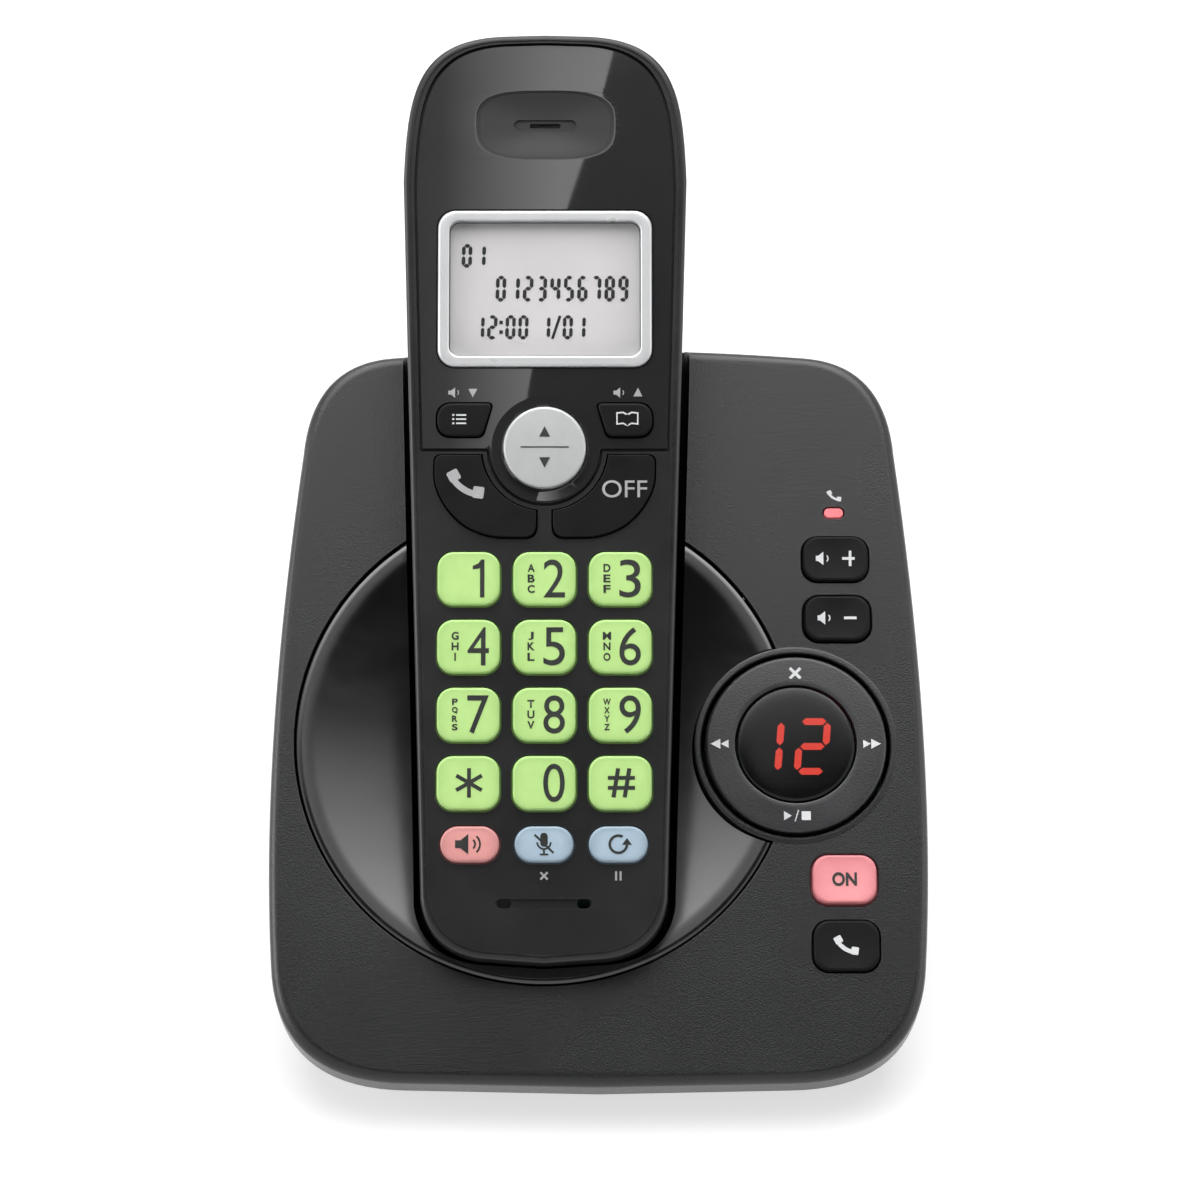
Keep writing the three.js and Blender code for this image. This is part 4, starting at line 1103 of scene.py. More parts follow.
@dataclass(frozen=True)
class BaseShape:
    """Sizes of the base's outline, cover and foot."""

    half_width: float = 58.8
    length: float = 137.2
    cover_depth: float = 8.0
    wall: float = 2.0
    edge_round: float = 1.9
    bottom_wall: float = 2.0
    slope_angle: float = math.radians(30)
    front_edge: float = 10.0
    footprint_side: float = 8.0
    footprint_front: float = 7.0
    footprint_back: float = 11.0
    foot_height: float = 1.5
    steps: int = 18
    shares: tuple[Point, ...] = (
        (0.578, 0.005), (0.973, 0.007), (0.99, 0.16), (1.034, 0.452),
        (0.918, 0.853), (0.895, 0.98), (0.646, 0.989), (0.323, 1.0),
    )

    def side(self, inset: float) -> list[Point]:
        """Right-hand side of the outline, drawn in by a margin.

        Args:
            inset: How far the outline is drawn in.

        Returns:
            Points from the front middle to the back middle.
        """
        wide, long = self.half_width - inset, self.length - inset * 2
        at = [(across * wide, inset + along * long) for across, along in self.shares]
        end = (0.0, inset + long)
        straight = [(at[0][0] * i / 8, inset + (at[0][1] - inset) * i / 8) for i in range(1, 9)]
        at.append(end)
        bends = [quadratic(*at[i:i + 3], self.steps) for i in range(0, 8, 2)]
        return mirrored_side([straight, *bends], (0.0, inset))

    def blank(self, inset: float, low: float, high: float) -> Mesh:
        """A block with the base's outline between two heights."""
        side = self.side(inset)
        return lofted("blank", [flat_ring(side, low), flat_ring(side, high)])

    def shell(self) -> Mesh:
        """The cover's outer shell, with its rounded edge.

        Returns:
            The hollow shell, open underneath.
        """
        rings = [flat_ring(self.side(0.0), -self.cover_depth)]
        rings += [flat_ring(self.side(inset), height) for inset, height in rounding(self.edge_round, 7)]
        outside = lofted("base_cover", rings)
        return cut(outside, self.blank(self.wall, -self.cover_depth - ABOVE, -self.wall))

    def footprint(self, x: float, y: float, inset: float, height: float) -> Vector:
        """Where a point of the outline stands on the table, in the upright frame of the base.

        Args:
            x: The point's place across.
            y: Its place up the slope.
            inset: How far the footprint is drawn in.
            height: Height above the table.

        Returns:
            The point.
        """
        depth = self.length * math.cos(self.slope_angle) + self.cover_depth * math.sin(self.slope_angle)
        front = self.footprint_front + inset
        back = self.footprint_back + inset
        across = (self.half_width - self.footprint_side - inset) / self.half_width
        return Vector((x * across, front + y / self.length * (depth - front - back), height))

    def footprint_back_wall(self, height: float) -> float:
        """Where the sloping back wall stands at a height above the table, in the upright frame of the base.

        Args:
            height: The height above the table.

        Returns:
            The wall's place.
        """
        foot = self.footprint(0.0, self.length, 0.0, self.foot_height).y
        seam = Vector((0.0, self.length, -self.cover_depth - GAP))
        seam.rotate(Euler((self.slope_angle, 0, 0)))
        share = (height - self.foot_height) / (seam.z + self.front_edge - self.foot_height)
        return foot + share * (seam.y - foot)

    def bottom_blank(self, inset: float, seam: float, floor: float) -> Mesh:
        """The block between the footprint and the cover's seam, in the slope frame.

        Args:
            inset: How far the sides are drawn in.
            seam: Height of the cover's seam.
            floor: Height of its underside above the table.

        Returns:
            The block.
        """
        upright = Matrix.Translation((0, 0, self.front_edge)) @ Matrix.Rotation(self.slope_angle, 4, "X")
        to_slope = upright.inverted()
        bottom = ring_of(self.side(0.0), lambda x, y: to_slope @ self.footprint(x, y, inset, floor))
        top = flat_ring(self.side(inset), seam)
        rings = [[low.lerp(high, i / 8) for low, high in zip(bottom, top)] for i in range(9)]
        return lofted("bottom_blank", rings)


@dataclass(frozen=True)
class HandsetShape:
    """Sizes of the handset's outline and back."""

    origin: tuple[float, float, float] = (-9.6, 19.1, 7.0)
    half_width: float = 25.0
    length: float = 169.0
    front_depth: float = 9.0
    depth: float = 26.0
    end_depth: float = 17.8
    top_depth: float = 19.5
    kink: float = 40.0
    floor_kink: float = 34.0
    top_start: float = 142.0
    round_inset: float = 8.0
    steps: int = 16
    shares: tuple[Point, ...] = (
        (0.44, 0.0124), (0.824, 0.0201), (0.872, 0.074), (1.0, 0.74),
        (0.994, 0.934), (0.95, 0.9945), (0.31, 0.9988),
    )
    foot_share: float = 0.0077
    back_round: tuple[Point, ...] = (
        (0.0, 0.62), (0.06, 0.7), (0.15, 0.77), (0.28, 0.84), (0.44, 0.9), (0.7, 0.96), (1.0, 1.0),
    )

    def side(self, inset: float, end_inset: float | None = None) -> list[Point]:
        """Right-hand side of the handset's outline.

        Args:
            inset: How far the sides are drawn in.
            end_inset: How far both ends are drawn in; as the sides where it isn't given.

        Returns:
            Points from the bottom middle to the top middle.
        """
        end = inset if end_inset is None else end_inset
        wide, long = self.half_width - inset, self.length - end * 2
        at = [(across * wide, end + along * long) for across, along in self.shares]

        def on_side(height: float) -> Point:
            """The point of the straight side at a height.

            Args:
                height: The place up the handset.

            Returns:
                The point.
            """
            (low_x, low), (high_x, high) = self.shares[2], self.shares[3]
            along = height / self.length
            return ((low_x + (along - low) / (high - low) * (high_x - low_x)) * wide, end + along * long)

        start = end + self.foot_share * long
        foot = [(at[0][0] * i / 6, start + (at[0][1] - start) * i / 6) for i in range(1, 7)]
        rows = [on_side(v) for v in (20.0, 27.0, self.floor_kink, self.kink, 55.0, 70.0, 85.0, 100.0, 113.0)]
        upper = [at[3], on_side(134.0), on_side(self.top_start)]
        crown = cubic(upper[-1], at[4], at[5], at[6], self.steps * 2)
        top = [(at[6][0] * (1 - i / 4), at[6][1] + (end + long - at[6][1]) * i / 4) for i in range(1, 5)]
        return mirrored_side([foot, quadratic(at[0], at[1], at[2], self.steps), rows, upper, crown, top], (0.0, start))

    def depth_at(self, height: float, kink: float) -> float:
        """Depth of the back behind the front face.

        Args:
            height: The place up the handset.
            kink: Where the foot's slant ends.

        Returns:
            The depth.
        """
        if height < kink:
            return self.end_depth + max(height, 0) / kink * (self.depth - self.end_depth)
        if height < self.top_start:
            return self.depth
        rise = (min(height, self.length) - self.top_start) / (self.length - self.top_start)
        return self.depth + rise**2 * (self.top_depth - self.depth)

    def blank(self, inset: float, end_inset: float, low: float, high: float) -> Mesh:
        """A block with the handset's outline between two heights."""
        side = self.side(inset, end_inset)
        return lofted("blank", [flat_ring(side, low), flat_ring(side, high)])

    def back_blank(self, inset: float, wall: float, top: float) -> Mesh:
        """The rounded block of the back, drawn in by a wall.

        Args:
            inset: How far the sides are drawn in.
            wall: How much shallower it is.
            top: Height of its flat top.

        Returns:
            The block.
        """
        rings = []
        for inset_share, depth_share in reversed(self.back_round):
            side = self.side(inset + inset_share * self.round_inset)
            rings.append(
                ring_of(side, lambda x, y: Vector((x, y, -(self.depth_at(y, self.kink) - wall) * depth_share)))
            )
        rings.append(flat_ring(self.side(inset), top))
        return lofted("back_blank", rings)


@dataclass(frozen=True)
class CradleShape:
    """The space that the base leaves for the handset."""

    side_margin: float = 1.75
    end_margin: float = 0.45
    wall: float = 1.6
    floor_inset: float = 4.0
    above: float = 40.0

    def solid(self, handset: HandsetShape, to_slope: Matrix, grow: float) -> Mesh:
        """The space, grown by a wall, in the slope frame.

        Args:
            handset: The handset that stands in it.
            to_slope: The handset's frame in the slope frame.
            grow: How far the space is grown.

        Returns:
            The space as a solid.
        """
        side, end = -self.side_margin - grow, -self.end_margin - grow

        def floor(y: float) -> float:
            """The space's floor at a height up the handset."""
            return -(handset.depth_at(y, handset.floor_kink) + GAP + grow)

        def place(depth: Callable[[float], float]) -> Callable[[float, float], Vector]:
            """Place the outline's points at a depth, in the slope frame."""
            return lambda x, y: to_slope @ Vector((x, y, depth(y)))

        lower = handset.side(side + self.floor_inset, end + self.floor_inset)
        upper = handset.side(side, end)
        turns = [QUARTER_TURN * i / 6 for i in range(1, 7)]
        rings = [ring_of(lower, place(floor))]
        for turn in turns:
            across, up = 1 - math.cos(turn), math.sin(turn)
            middle = [(a[0] + (b[0] - a[0]) * up, a[1] + (b[1] - a[1]) * up) for a, b in zip(lower, upper)]
            rings.append(ring_of(middle, place(lambda y, rise=across: floor(y) + self.floor_inset * rise)))
        rings.append(ring_of(upper, place(lambda y: self.above)))
        return lofted("cradle_space", rings)


@dataclass(frozen=True)
class DishShape:
    """Sizes of the round dish and of the cover's lip round it."""

    centre: Point = (-9.7, 62.9)
    radius: float = 45.0
    depth: float = 5.5
    wall: float = 1.8
    flare: float = 41.0
    ease: float = 1.3
    rim_slope: float = 0.07
    lift: float = 0.25
    lip: float = 0.15
    bead: float = 1.4
    bead_rise: float = 0.03
    steps: int = 192

    def below(self, radius: float) -> float:
        """The bowl's height at a distance from its middle; its slope eases off before the rim.

        Args:
            radius: The distance from the dish's middle.

        Returns:
            The height.
        """
        outer = self.radius - GAP
        inner = min(radius, self.flare)
        slope = 2 * self.depth * inner / outer**2
        height = self.lift - self.depth * (1 - (inner / outer) ** 2)
        easing = min(radius - inner, self.ease)
        past = radius - inner - easing
        return height + slope * easing - (slope - self.rim_slope) * easing**2 / (2 * self.ease) + past * self.rim_slope

    def bowl(self) -> Mesh:
        """The bowl with its outer rim and a fine bead all round, which falls outwards.

        Returns:
            The bowl as one body.
        """
        outer = self.radius - GAP
        inner = outer - self.bead
        crest = self.below(inner) + self.bead_rise
        falls = ((0.0, 0.37), (0.08, 0.27), (0.26, 0.18), (0.52, 0.1), (0.82, 0.035), (self.bead - 0.22, 0.0))
        radii = [self.flare * i / 26 for i in range(27)]
        radii += [self.flare + self.ease * i / 5 for i in range(1, 6)]
        bead = [(outer - inwards, crest - fall) for inwards, fall in falls]
        top = [(r, self.below(r)) for r in reversed(radii) if r < inner]
        under = [(r, self.below(r) - self.wall) for r in radii if r < outer - self.wall]
        rim = [(outer - self.wall, -4.0), (outer, -4.0)]
        return turned("cradle_dish_bowl", [*under, *rim, *bead, *top], self.centre, self.steps)

    def opening(self) -> Mesh:
        """The tool that cuts the dish's opening in the cover, with a rounded lip.

        Returns:
            The tool.
        """
        turns = [math.radians(88) * i / 8 for i in range(9)]
        lip = [(self.radius + self.lip * (1 - math.cos(t)), self.lip * (math.sin(t) - 1)) for t in turns]
        profile = [(0, -REACH), (self.radius, -REACH), *lip, (self.radius + self.lip, ABOVE), (0, ABOVE)]
        return turned("dish_opening", profile, self.centre, self.steps)


@dataclass(frozen=True)
class RingShape:
    """Sizes of the four-way ring, its collar and the message window in it."""

    centre: Point = (35.4, 61.9)
    outer: float = 16.3
    inner: float = 10.9
    rise: float = 0.82
    fall: float = 0.2
    crown: float = 0.7
    depth: float = 2.6
    opening: float = 17.0
    collar: float = 1.25
    collar_rise: float = 0.28
    collar_round: float = 0.35
    chamfer: float = 0.25
    collar_depth: float = 6.0
    steps: int = 128
    window: float = 10.5
    window_rise: float = 1.3
    barrel: float = 10.0
    barrel_depth: float = 4.0

    def collar_solid(self) -> Mesh:
        """The raised collar round the ring's opening.

        Returns:
            The collar, not yet cut open.
        """
        outer, round_ = self.opening + self.collar, self.collar_round
        profile = [
            (0, -self.collar_depth),
            (outer, -self.collar_depth),
            (outer, self.collar_rise - round_),
            (outer - round_ * 0.3, self.collar_rise - round_ * 0.3),
            (outer - round_, self.collar_rise),
            (0, self.collar_rise),
        ]
        return turned("collar", profile, self.centre, self.steps)

    def opening_solid(self) -> Mesh:
        """The tool that cuts the collar's opening, with a fine chamfer.

        Returns:
            The tool.
        """
        top, wide = self.collar_rise, self.opening + self.chamfer
        profile = [
            (0, -REACH), (self.opening, -REACH), (self.opening, top - self.chamfer),
            (wide, top + 0.01), (wide, ABOVE), (0, ABOVE),
        ]
        return turned("ring_opening", profile, self.centre, self.steps)

    def ring(self) -> Mesh:
        """The ring itself, highest at the window and falling gently outwards.

        Returns:
            The ring.
        """
        edge = [(self.outer - inset, self.rise + height) for inset, height in rounding(self.crown, 5)]
        inner = [
            (self.inner + 3.0, self.rise + self.fall * 0.5),
            (self.inner + 1.0, self.rise + self.fall * 0.94),
            (self.inner + 0.3, self.rise + self.fall),
            (self.inner + 0.08, self.rise + self.fall - 0.1),
            (self.inner, self.rise - 0.3),
        ]
        profile = [(self.inner, -self.depth), (self.outer, -self.depth), *edge, *inner]
        return turned("four_way_ring", profile, self.centre, self.steps)

    def lens(self) -> Mesh:
        """The domed window with its barrel.

        Returns:
            The window.
        """
        dome = [
            (self.window * math.sin(t), self.window_rise * (0.55 + 0.45 * math.cos(t)) - 0.02)
            for t in [QUARTER_TURN * (9 - i) / 9 for i in range(10)]
        ]
        low = -self.barrel_depth
        profile = [(0, low), (self.barrel, low), (self.barrel, 0), (self.window, 0), *dome]
        return turned("message_lens", profile, self.centre)


@dataclass(frozen=True)
class ButtonShape:
    """One button in the base's top face."""

    node: str
    centre: Point
    width: float
    length: float
    corner: float = 2.8
    rise: float = 1.0
    depth: float = 5.1
    flange: float = 0.8
    edge: float = 0.55
    dish: float = 0.25

    def outline(self, grow: float = 0.0) -> list[Point]:
        """The button's outline, grown by a margin."""
        return rounded_box(*self.centre, self.width + grow * 2, self.length + grow * 2, self.corner + grow)


def dished_cap(name: str, outline: Sequence[Point], low: float, high: float, edge: float, dish: float) -> Mesh:
    """A key's cap with a rounded rim and a gently hollow or crowned top.

    Args:
        name: The cap's name.
        outline: The cap's outline.
        low: Height of its underside.
        high: Height of its rim.
        edge: Radius of the rim.
        dish: How far the middle is sunk, or raised where it is negative.

    Returns:
        The cap.
    """
    piece = plate(name, outline, low, high, edge, 5)
    if abs(dish) < WELD:
        return piece
    edit(piece)
    bpy.ops.mesh.select_all(action="DESELECT")
    bpy.ops.mesh.select_mode(type="FACE")
    body = bmesh.from_edit_mesh(piece.data)
    for face in body.faces:
        if all(abs(vertex.co.z - high) < WELD * 5 for vertex in face.verts):
            face.select_set(True)
    bmesh.update_edit_mesh(piece.data)
    middle = Vector((sum(x for x, _ in outline), sum(y for _, y in outline))) / len(outline)
    span = max((Vector(point) - middle).length for point in outline)
    stages = (0.05, 0.12, 0.2, 0.3, 0.4, 0.5, 0.6, 0.7, 0.8, 0.9)
    for before, share in zip((0.0, *stages), stages):
        factor = (1 - share) / (1 - before)
        bpy.ops.mesh.inset(thickness=0, depth=0)
        bpy.ops.transform.resize(value=(factor, factor, 1), center_override=(middle.x, middle.y, high))
    close_edit()
    for vertex in piece.data.vertices:
        if abs(vertex.co.z - high) < WELD * 5:
            reach = (vertex.co.xy - middle).length / span
            vertex.co.z -= dish * (1 - min(reach / 0.88, 1.0) ** 2)
    return piece


@dataclass(frozen=True)
class Base:
    """The wedge-shaped base with its dish, ring, window, buttons and feet."""

    shape: BaseShape = BaseShape()
    dish: DishShape = DishShape()
    ring: RingShape = RingShape()
    handset: HandsetShape = HandsetShape()
    cradle: CradleShape = CradleShape()
    buttons: tuple[ButtonShape, ...] = (
        ButtonShape("volume_up_button", (42.9, 96.6), 11.9, 8.3),
        ButtonShape("volume_down_button", (43.1, 85.4), 11.9, 8.3),
        ButtonShape("answer_button", (43.8, 37.1), 11.4, 8.8),
        ButtonShape("find_handset_button", (44.0, 25.05), 11.7, 9.1),
    )
    opening_edge: float = 0.3
    lamp: tuple[float, float, float, float] = (42.75, 105.5, 3.5, 1.8)
    lamp_heights: Point = (-6.0, -0.1)
    lamp_edge: float = 0.15
    screw_place: Point = (30.0, 46.0)
    contact_y: float = 12.0
    contact_length: float = 10 / 3
    foot_rows: Point = (18.0, 100.82)
    foot_x: float = 40.8
    foot_radius: float = 5.8
    vent_place: Point = (-2.0, 69.82)
    vent_pitch: float = 3.84
    vent_length: float = 20.0
    vent_width: float = 1.6
    vent_top: float = 7.5
    post_radius: float = 4.4
    post_top: float = 17.5
    foot_recess: float = 2.4
    screw_radii: Point = (3.1, 1.8)
    screw_heights: Point = (3.9, 16.1)
    jacks: tuple[tuple[float, ...], ...] = ((22.0, 16.0, 5.8, 5.8, 13.0), (-20.0, 16.0, 6.8, 6.3, 14.0))

    def build(self, kit: Kit) -> None:
        """Model every visible piece of the base.

        Args:
            kit: Places, palette and frame of the scene.
        """
        self.add_cover(kit)
        self.add_dish(kit)
        self.add_bottom(kit)
        self.add_ring(kit)
        self.add_buttons(kit)

    def space(self, kit: Kit, grow: float) -> Mesh:
        """The handset's space in the slope frame, grown by a wall."""
        return self.cradle.solid(self.handset, kit.places.grip_to_slope, grow)

    def up_slope(self) -> Mesh:
        """Everything behind the dish's middle, where the trough leaves the dish."""
        return block("up_slope", (-REACH * 2, self.dish.centre[1]), (REACH * 2, REACH * 4), -REACH * 2, REACH)

    def add_cover(self, kit: Kit) -> None:
        """The matte top cover, with its trough, collar and openings.

        Args:
            kit: Places, palette and frame of the scene.
        """
        shape = self.shape
        cover = shape.shell()
        reach = shape.cover_depth + self.cradle.wall + GAP
        limits = [shape.blank(GAP, -reach, -1.0), self.up_slope()]
        trough = apply_boolean(self.space(kit, self.cradle.wall), limits, "INTERSECT")
        join_solid(cover, trough)
        cut(cover, self.dish.opening())
        join_solid(cover, self.ring.collar_solid())
        cut(cover, self.ring.opening_solid(), self.space(kit, 0.0))
        for button in self.buttons:
            cut(cover, plate("opening", button.outline(GAP), -REACH, REACH))
        cut(cover, plate("opening", self.lamp_outline(GAP), -REACH, REACH))
        cover.name = "base_cover_shell"
        finish_edit(cover)
        self.soften_openings(cover)
        kit.add(cover, kit.places.slope, "base", Look.MATTE, "matte_black", ["base_top_cover"])

    def soften_openings(self, cover: Mesh) -> None:
        """Give the button openings their fine rounded edge.

        Args:
            cover: The cover, with its openings cut.
        """
        for button in self.buttons:
            (x, y), wide, long = button.centre, button.width / 2 + 1, button.length / 2 + 1

            def near(a: Vector, b: Vector) -> bool:
                """Whether an edge borders this opening's top."""
                return all(abs(p.z) < 0.01 and abs(p.x - x) < wide and abs(p.y - y) < long for p in (a, b))

            bevel_edges(cover, near, self.opening_edge, 3)

    def lamp_outline(self, grow: float) -> list[Point]:
        """The in-use lamp's outline, grown by a margin."""
        x, y, width, length = self.lamp
        return pill(x, y, width + grow * 2, length + grow * 2)

    def add_dish(self, kit: Kit) -> None:
        """The glossy dish with the pocket that the handset stands in.

        Args:
            kit: Places, palette and frame of the scene.
        """
        dish, ring = self.dish, self.ring
        bowl = dish.bowl()
        outer = dish.radius - GAP
        radii = [outer * i / 28 for i in range(29)]
        under_bowl = [(0, -REACH * 2), (outer, -REACH * 2), *[(r, dish.below(r) - 0.4) for r in reversed(radii)]]
        below = turned("below", under_bowl, dish.centre, dish.steps)
        pocket = apply_boolean(self.space(kit, self.cradle.wall), [below], "INTERSECT")
        join_solid(bowl, pocket)
        collar_hole = drum("collar_hole", ring.opening + ring.collar + GAP, -REACH, ABOVE, ring.centre, ring.steps)
        cut(bowl, self.space(kit, 0.0), collar_hole, *self.contact_slots(kit))
        bowl.name = "round_dish"
        finish_edit(bowl)
        kit.add(bowl, kit.places.slope, "base", Look.GLOSS, "gloss_black", ["cradle_dish"])

    def contact_slots(self, kit: Kit) -> list[Mesh]:
        """The slots in the pocket's floor that the two charge contacts stand in.

        Args:
            kit: Places, palette and frame of the scene.

        Returns:
            A tool for each slot.
        """
        slots = []
        to_slope = kit.places.slope.inverted()
        for side in ("left", "right"):
            low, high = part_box(f"charge_contact_{side}")
            low_x, high_x = low.x / MM - GAP, high.x / MM + GAP
            middle, length = (low_x + high_x) / 2 - self.handset.origin[0], self.contact_length + GAP * 2
            outline = rounded_box(middle, self.contact_y, high_x - low_x, length, GAP, 2)
            slot = plate("contact_slot", outline, -REACH, -self.handset.front_depth)
            slot.data.transform(to_slope @ kit.places.grip)
            slots.append(slot)
        return slots

    def add_bottom(self, kit: Kit) -> None:
        """The lower housing with its openings for feet, screws, speaker and jacks.

        Args:
            kit: Places, palette and frame of the scene.
        """
        shape = self.shape
        seam = -shape.cover_depth - GAP
        outside = shape.bottom_blank(0.0, seam, shape.foot_height)
        inside = shape.bottom_blank(shape.bottom_wall, seam + ABOVE, shape.foot_height + shape.bottom_wall)
        cut(outside, inside)
        for tool in self.bottom_posts():
            join_solid(outside, apply_boolean(tool, [shape.bottom_blank(0.0, seam, shape.foot_height)], "INTERSECT"))
        cut(outside, *self.bottom_openings())
        outside.name = "base_lower_housing"
        finish_edit(outside)
        kit.add(outside, kit.places.slope, "base", Look.SIDE, "satin_black", ["base_bottom_cover"])

    def to_slope(self, tool: Mesh) -> Mesh:
        """Move a tool from the base's upright frame to the slope frame.

        Args:
            tool: The tool.

        Returns:
            The same tool.
        """
        shape = self.shape
        upright = Matrix.Translation((0, 0, shape.front_edge)) @ Matrix.Rotation(shape.slope_angle, 4, "X")
        tool.data.transform(upright.inverted())
        return tool

    def bottom_posts(self) -> list[Mesh]:
        """The two posts that the case screws go up in.

        Returns:
            The posts, in the slope frame.
        """
        low, (x, y) = self.shape.foot_height, self.screw_place
        centres = [(hand.value * x, y) for hand in Hand]
        return [self.to_slope(drum("screw_post", self.post_radius, low, self.post_top, at, 48)) for at in centres]

    def bottom_openings(self) -> list[Mesh]:
        """The tools for the foot recesses, screw holes, speaker vents and the two jacks' openings.

        Returns:
            The tools, in the slope frame.
        """
        tools = []
        (head, shaft), (seat, tip) = self.screw_radii, self.screw_heights
        for hand in Hand:
            for y in self.foot_rows:
                foot = (hand.value * self.foot_x, y)
                tools.append(drum("foot_recess", self.foot_radius, -REACH, self.foot_recess, foot, 64))
            profile = [(0, -REACH), (head, -REACH), (head, seat), (shaft, seat), (shaft, tip), (0, tip)]
            tools.append(turned("screw_hole", profile, (hand.value * self.screw_place[0], self.screw_place[1]), 48))
        x, y = self.vent_place
        for i in range(-3, 4):
            slot = pill(x, y + i * self.vent_pitch, self.vent_length, self.vent_width)
            tools.append(plate("vent", slot, -REACH, self.vent_top))
        for x, height, half_width, half_height, depth in self.jacks:
            back = self.shape.footprint_back_wall(height - half_height) - GAP
            profile = [
                (x - half_width, height - half_height), (x + half_width, height - half_height),
                (x + half_width, height + half_height), (x - half_width, height + half_height),
            ]
            ends = [[Vector((px, py, pz)) for px, pz in profile] for py in (back - depth, back + REACH)]
            tools.append(lofted_prism("jack_opening", ends))
        return [self.to_slope(tool) for tool in tools]

    def add_ring(self, kit: Kit) -> None:
        """The four-way ring and the message window inside it.

        Args:
            kit: Places, palette and frame of the scene.
        """
        slope = kit.places.slope
        kit.add(self.ring.ring(), slope, "control_ring", Look.RING, "satin_black", ["control_ring"])
        lens = self.ring.lens()
        kit.add(lens, slope, "base", Look.SMOKE, "smoke", ["message_window"])

    def add_buttons(self, kit: Kit) -> None:
        """The four buttons beside the ring and the in-use lamp.

        Args:
            kit: Places, palette and frame of the scene.
        """
        for button in self.buttons:
            pink = button.node == "answer_button"
            outline = button.outline()
            cap = dished_cap(button.node + "_cap", outline, -button.depth, button.rise, button.edge, button.dish)
            flange = plate("flange", button.outline(button.flange), -button.depth, -self.shape.wall - GAP)
            cap = join_solid(cap, flange)
            cap.name = button.node + "_cap"
            map_border(cap, outline)
            finish, slot = (Look.PINK, "pink") if pink else (Look.KEY_DARK, "key_black")
            kit.add(cap, kit.places.slope, button.node, finish, slot, [button.node])
        lamp = plate("in_use_lamp", self.lamp_outline(0.0), *self.lamp_heights, self.lamp_edge, 3)
        kit.add(lamp, kit.places.slope, "base", Look.LAMP, "lamp_red", ["in_use_lens"])


# The handset


@dataclass(frozen=True)
class PlateShape:
    """Sizes of the polished faceplate, its screen and its ear dip."""

    side_inset: float = 2.45
    end_inset: float = 2.1
    groove: float = 0.55
    rise: float = 0.1
    seat: float = 1.5
    lower_edge: float = 93.2
    menu_radius: float = 7.35
    ring_wall: float = 2.5
    fillet: float = 2.2
    plate_round: float = 0.35
    well_edge: float = 0.3
    well_drop: float = 0.12
    screen_y: float = 122.2
    screen_width: float = 38.35
    screen_length: float = 28.5
    screen_corner: float = 3.2
    window_width: float = 33.7
    window_length: float = 24.1
    window_corner: float = 1.6
    screen_rise: float = 0.7
    frame_edge: float = 0.6
    window_edge: float = 0.35
    lens_sink: float = 0.7
    lens_thickness: float = 0.8
    screen_face: float = -1.0
    screen_overlap: float = 0.15
    ear_y: float = 152.2
    ear_width: float = 25.4
    ear_length: float = 12.9
    ear_depth: float = 0.36
    ear_softness: float = 1.35
    ear_crease: float = 0.03
    ear_square: float = 0.62
    ear_steps: int = 96
    surround_width: float = 11.2
    surround_length: float = 2.1
    surround_depth: float = 0.78
    slit_width: float = 5.6
    slit_length: float = 0.9

    def blank(self, handset: HandsetShape, grow: float, low: float, high: float) -> Mesh:
        """The faceplate's outline as a block: the panel above its lower edge and the collar round the menu button.

        Args:
            handset: The handset that it is part of.
            grow: How far the outline is grown.
            low: Height of its underside.
            high: Height of its top.

        Returns:
            The block.
        """
        panel = handset.blank(self.side_inset - grow, self.end_inset - grow, low, high)
        bottom = self.lower_edge - grow
        upper = block("upper", (-REACH, bottom), (REACH, REACH * 4), -REACH, REACH)
        apply_boolean(panel, [upper], "INTERSECT")
        radius = self.menu_radius + self.ring_wall + grow
        collar = drum("menu_collar", radius, low, high, (0, self.lower_edge))
        finish_edit(join_solid(panel, collar))

        def in_corner(a: Vector, b: Vector) -> bool:
            """Whether an edge stands where the straight edge meets the collar."""
            at_meeting = all(abs(abs(p.x) - radius) < 0.3 and abs(p.y - bottom) < 0.3 for p in (a, b))
            return abs(a.z - b.z) > 0.1 and at_meeting

        return bevel_edges(panel, in_corner, self.fillet, 8)

    def window(self, grow: float) -> list[Point]:
        """Outline of the screen's window, grown by a margin."""
        width, length = self.window_width + grow * 2, self.window_length + grow * 2
        return rounded_box(0, self.screen_y, width, length, self.window_corner + max(grow, 0))

    def scoop(self) -> Mesh:
        """The tool that sinks the ear's dip: at once along its upper edge, and gently everywhere else.

        Returns:
            The tool.
        """
        rings = []
        for share in (0.03, 0.1, 0.2, 0.3, 0.4, 0.5, 0.58, 0.66, 0.73, 0.79, 0.84, 0.88, 0.92, 0.95, 0.975, 1.0):
            ring = []
            for i in range(self.ear_steps):
                turn = FULL_TURN * i / self.ear_steps
                sides = (math.cos(turn), math.sin(turn))
                across, along = (math.copysign(abs(part) ** self.ear_square, part) for part in sides)
                softness = self.ear_softness * (1 - along) + along
                sink = self.ear_depth * (1 - share**2) ** softness + self.ear_crease * (1 - share)
                x, y = across * share * self.ear_width / 2, along * share * self.ear_length / 2
                ring.append(Vector((x, self.ear_y + y, self.rise - sink)))
            rings.append(ring)
        top = [Vector((point.x, point.y, self.rise + 1)) for point in rings[-1]]
        return lofted("ear_scoop", [*rings, top])

    def slit(self) -> Mesh:
        """The tool that cuts the slit for the ear."""
        return plate("ear_slit", pill(0, self.ear_y, self.slit_width, self.slit_length), -REACH, REACH)


# The place of a corner, and how far it moves across and upwards as its outline grows
Corner = tuple[float, float, float, float]


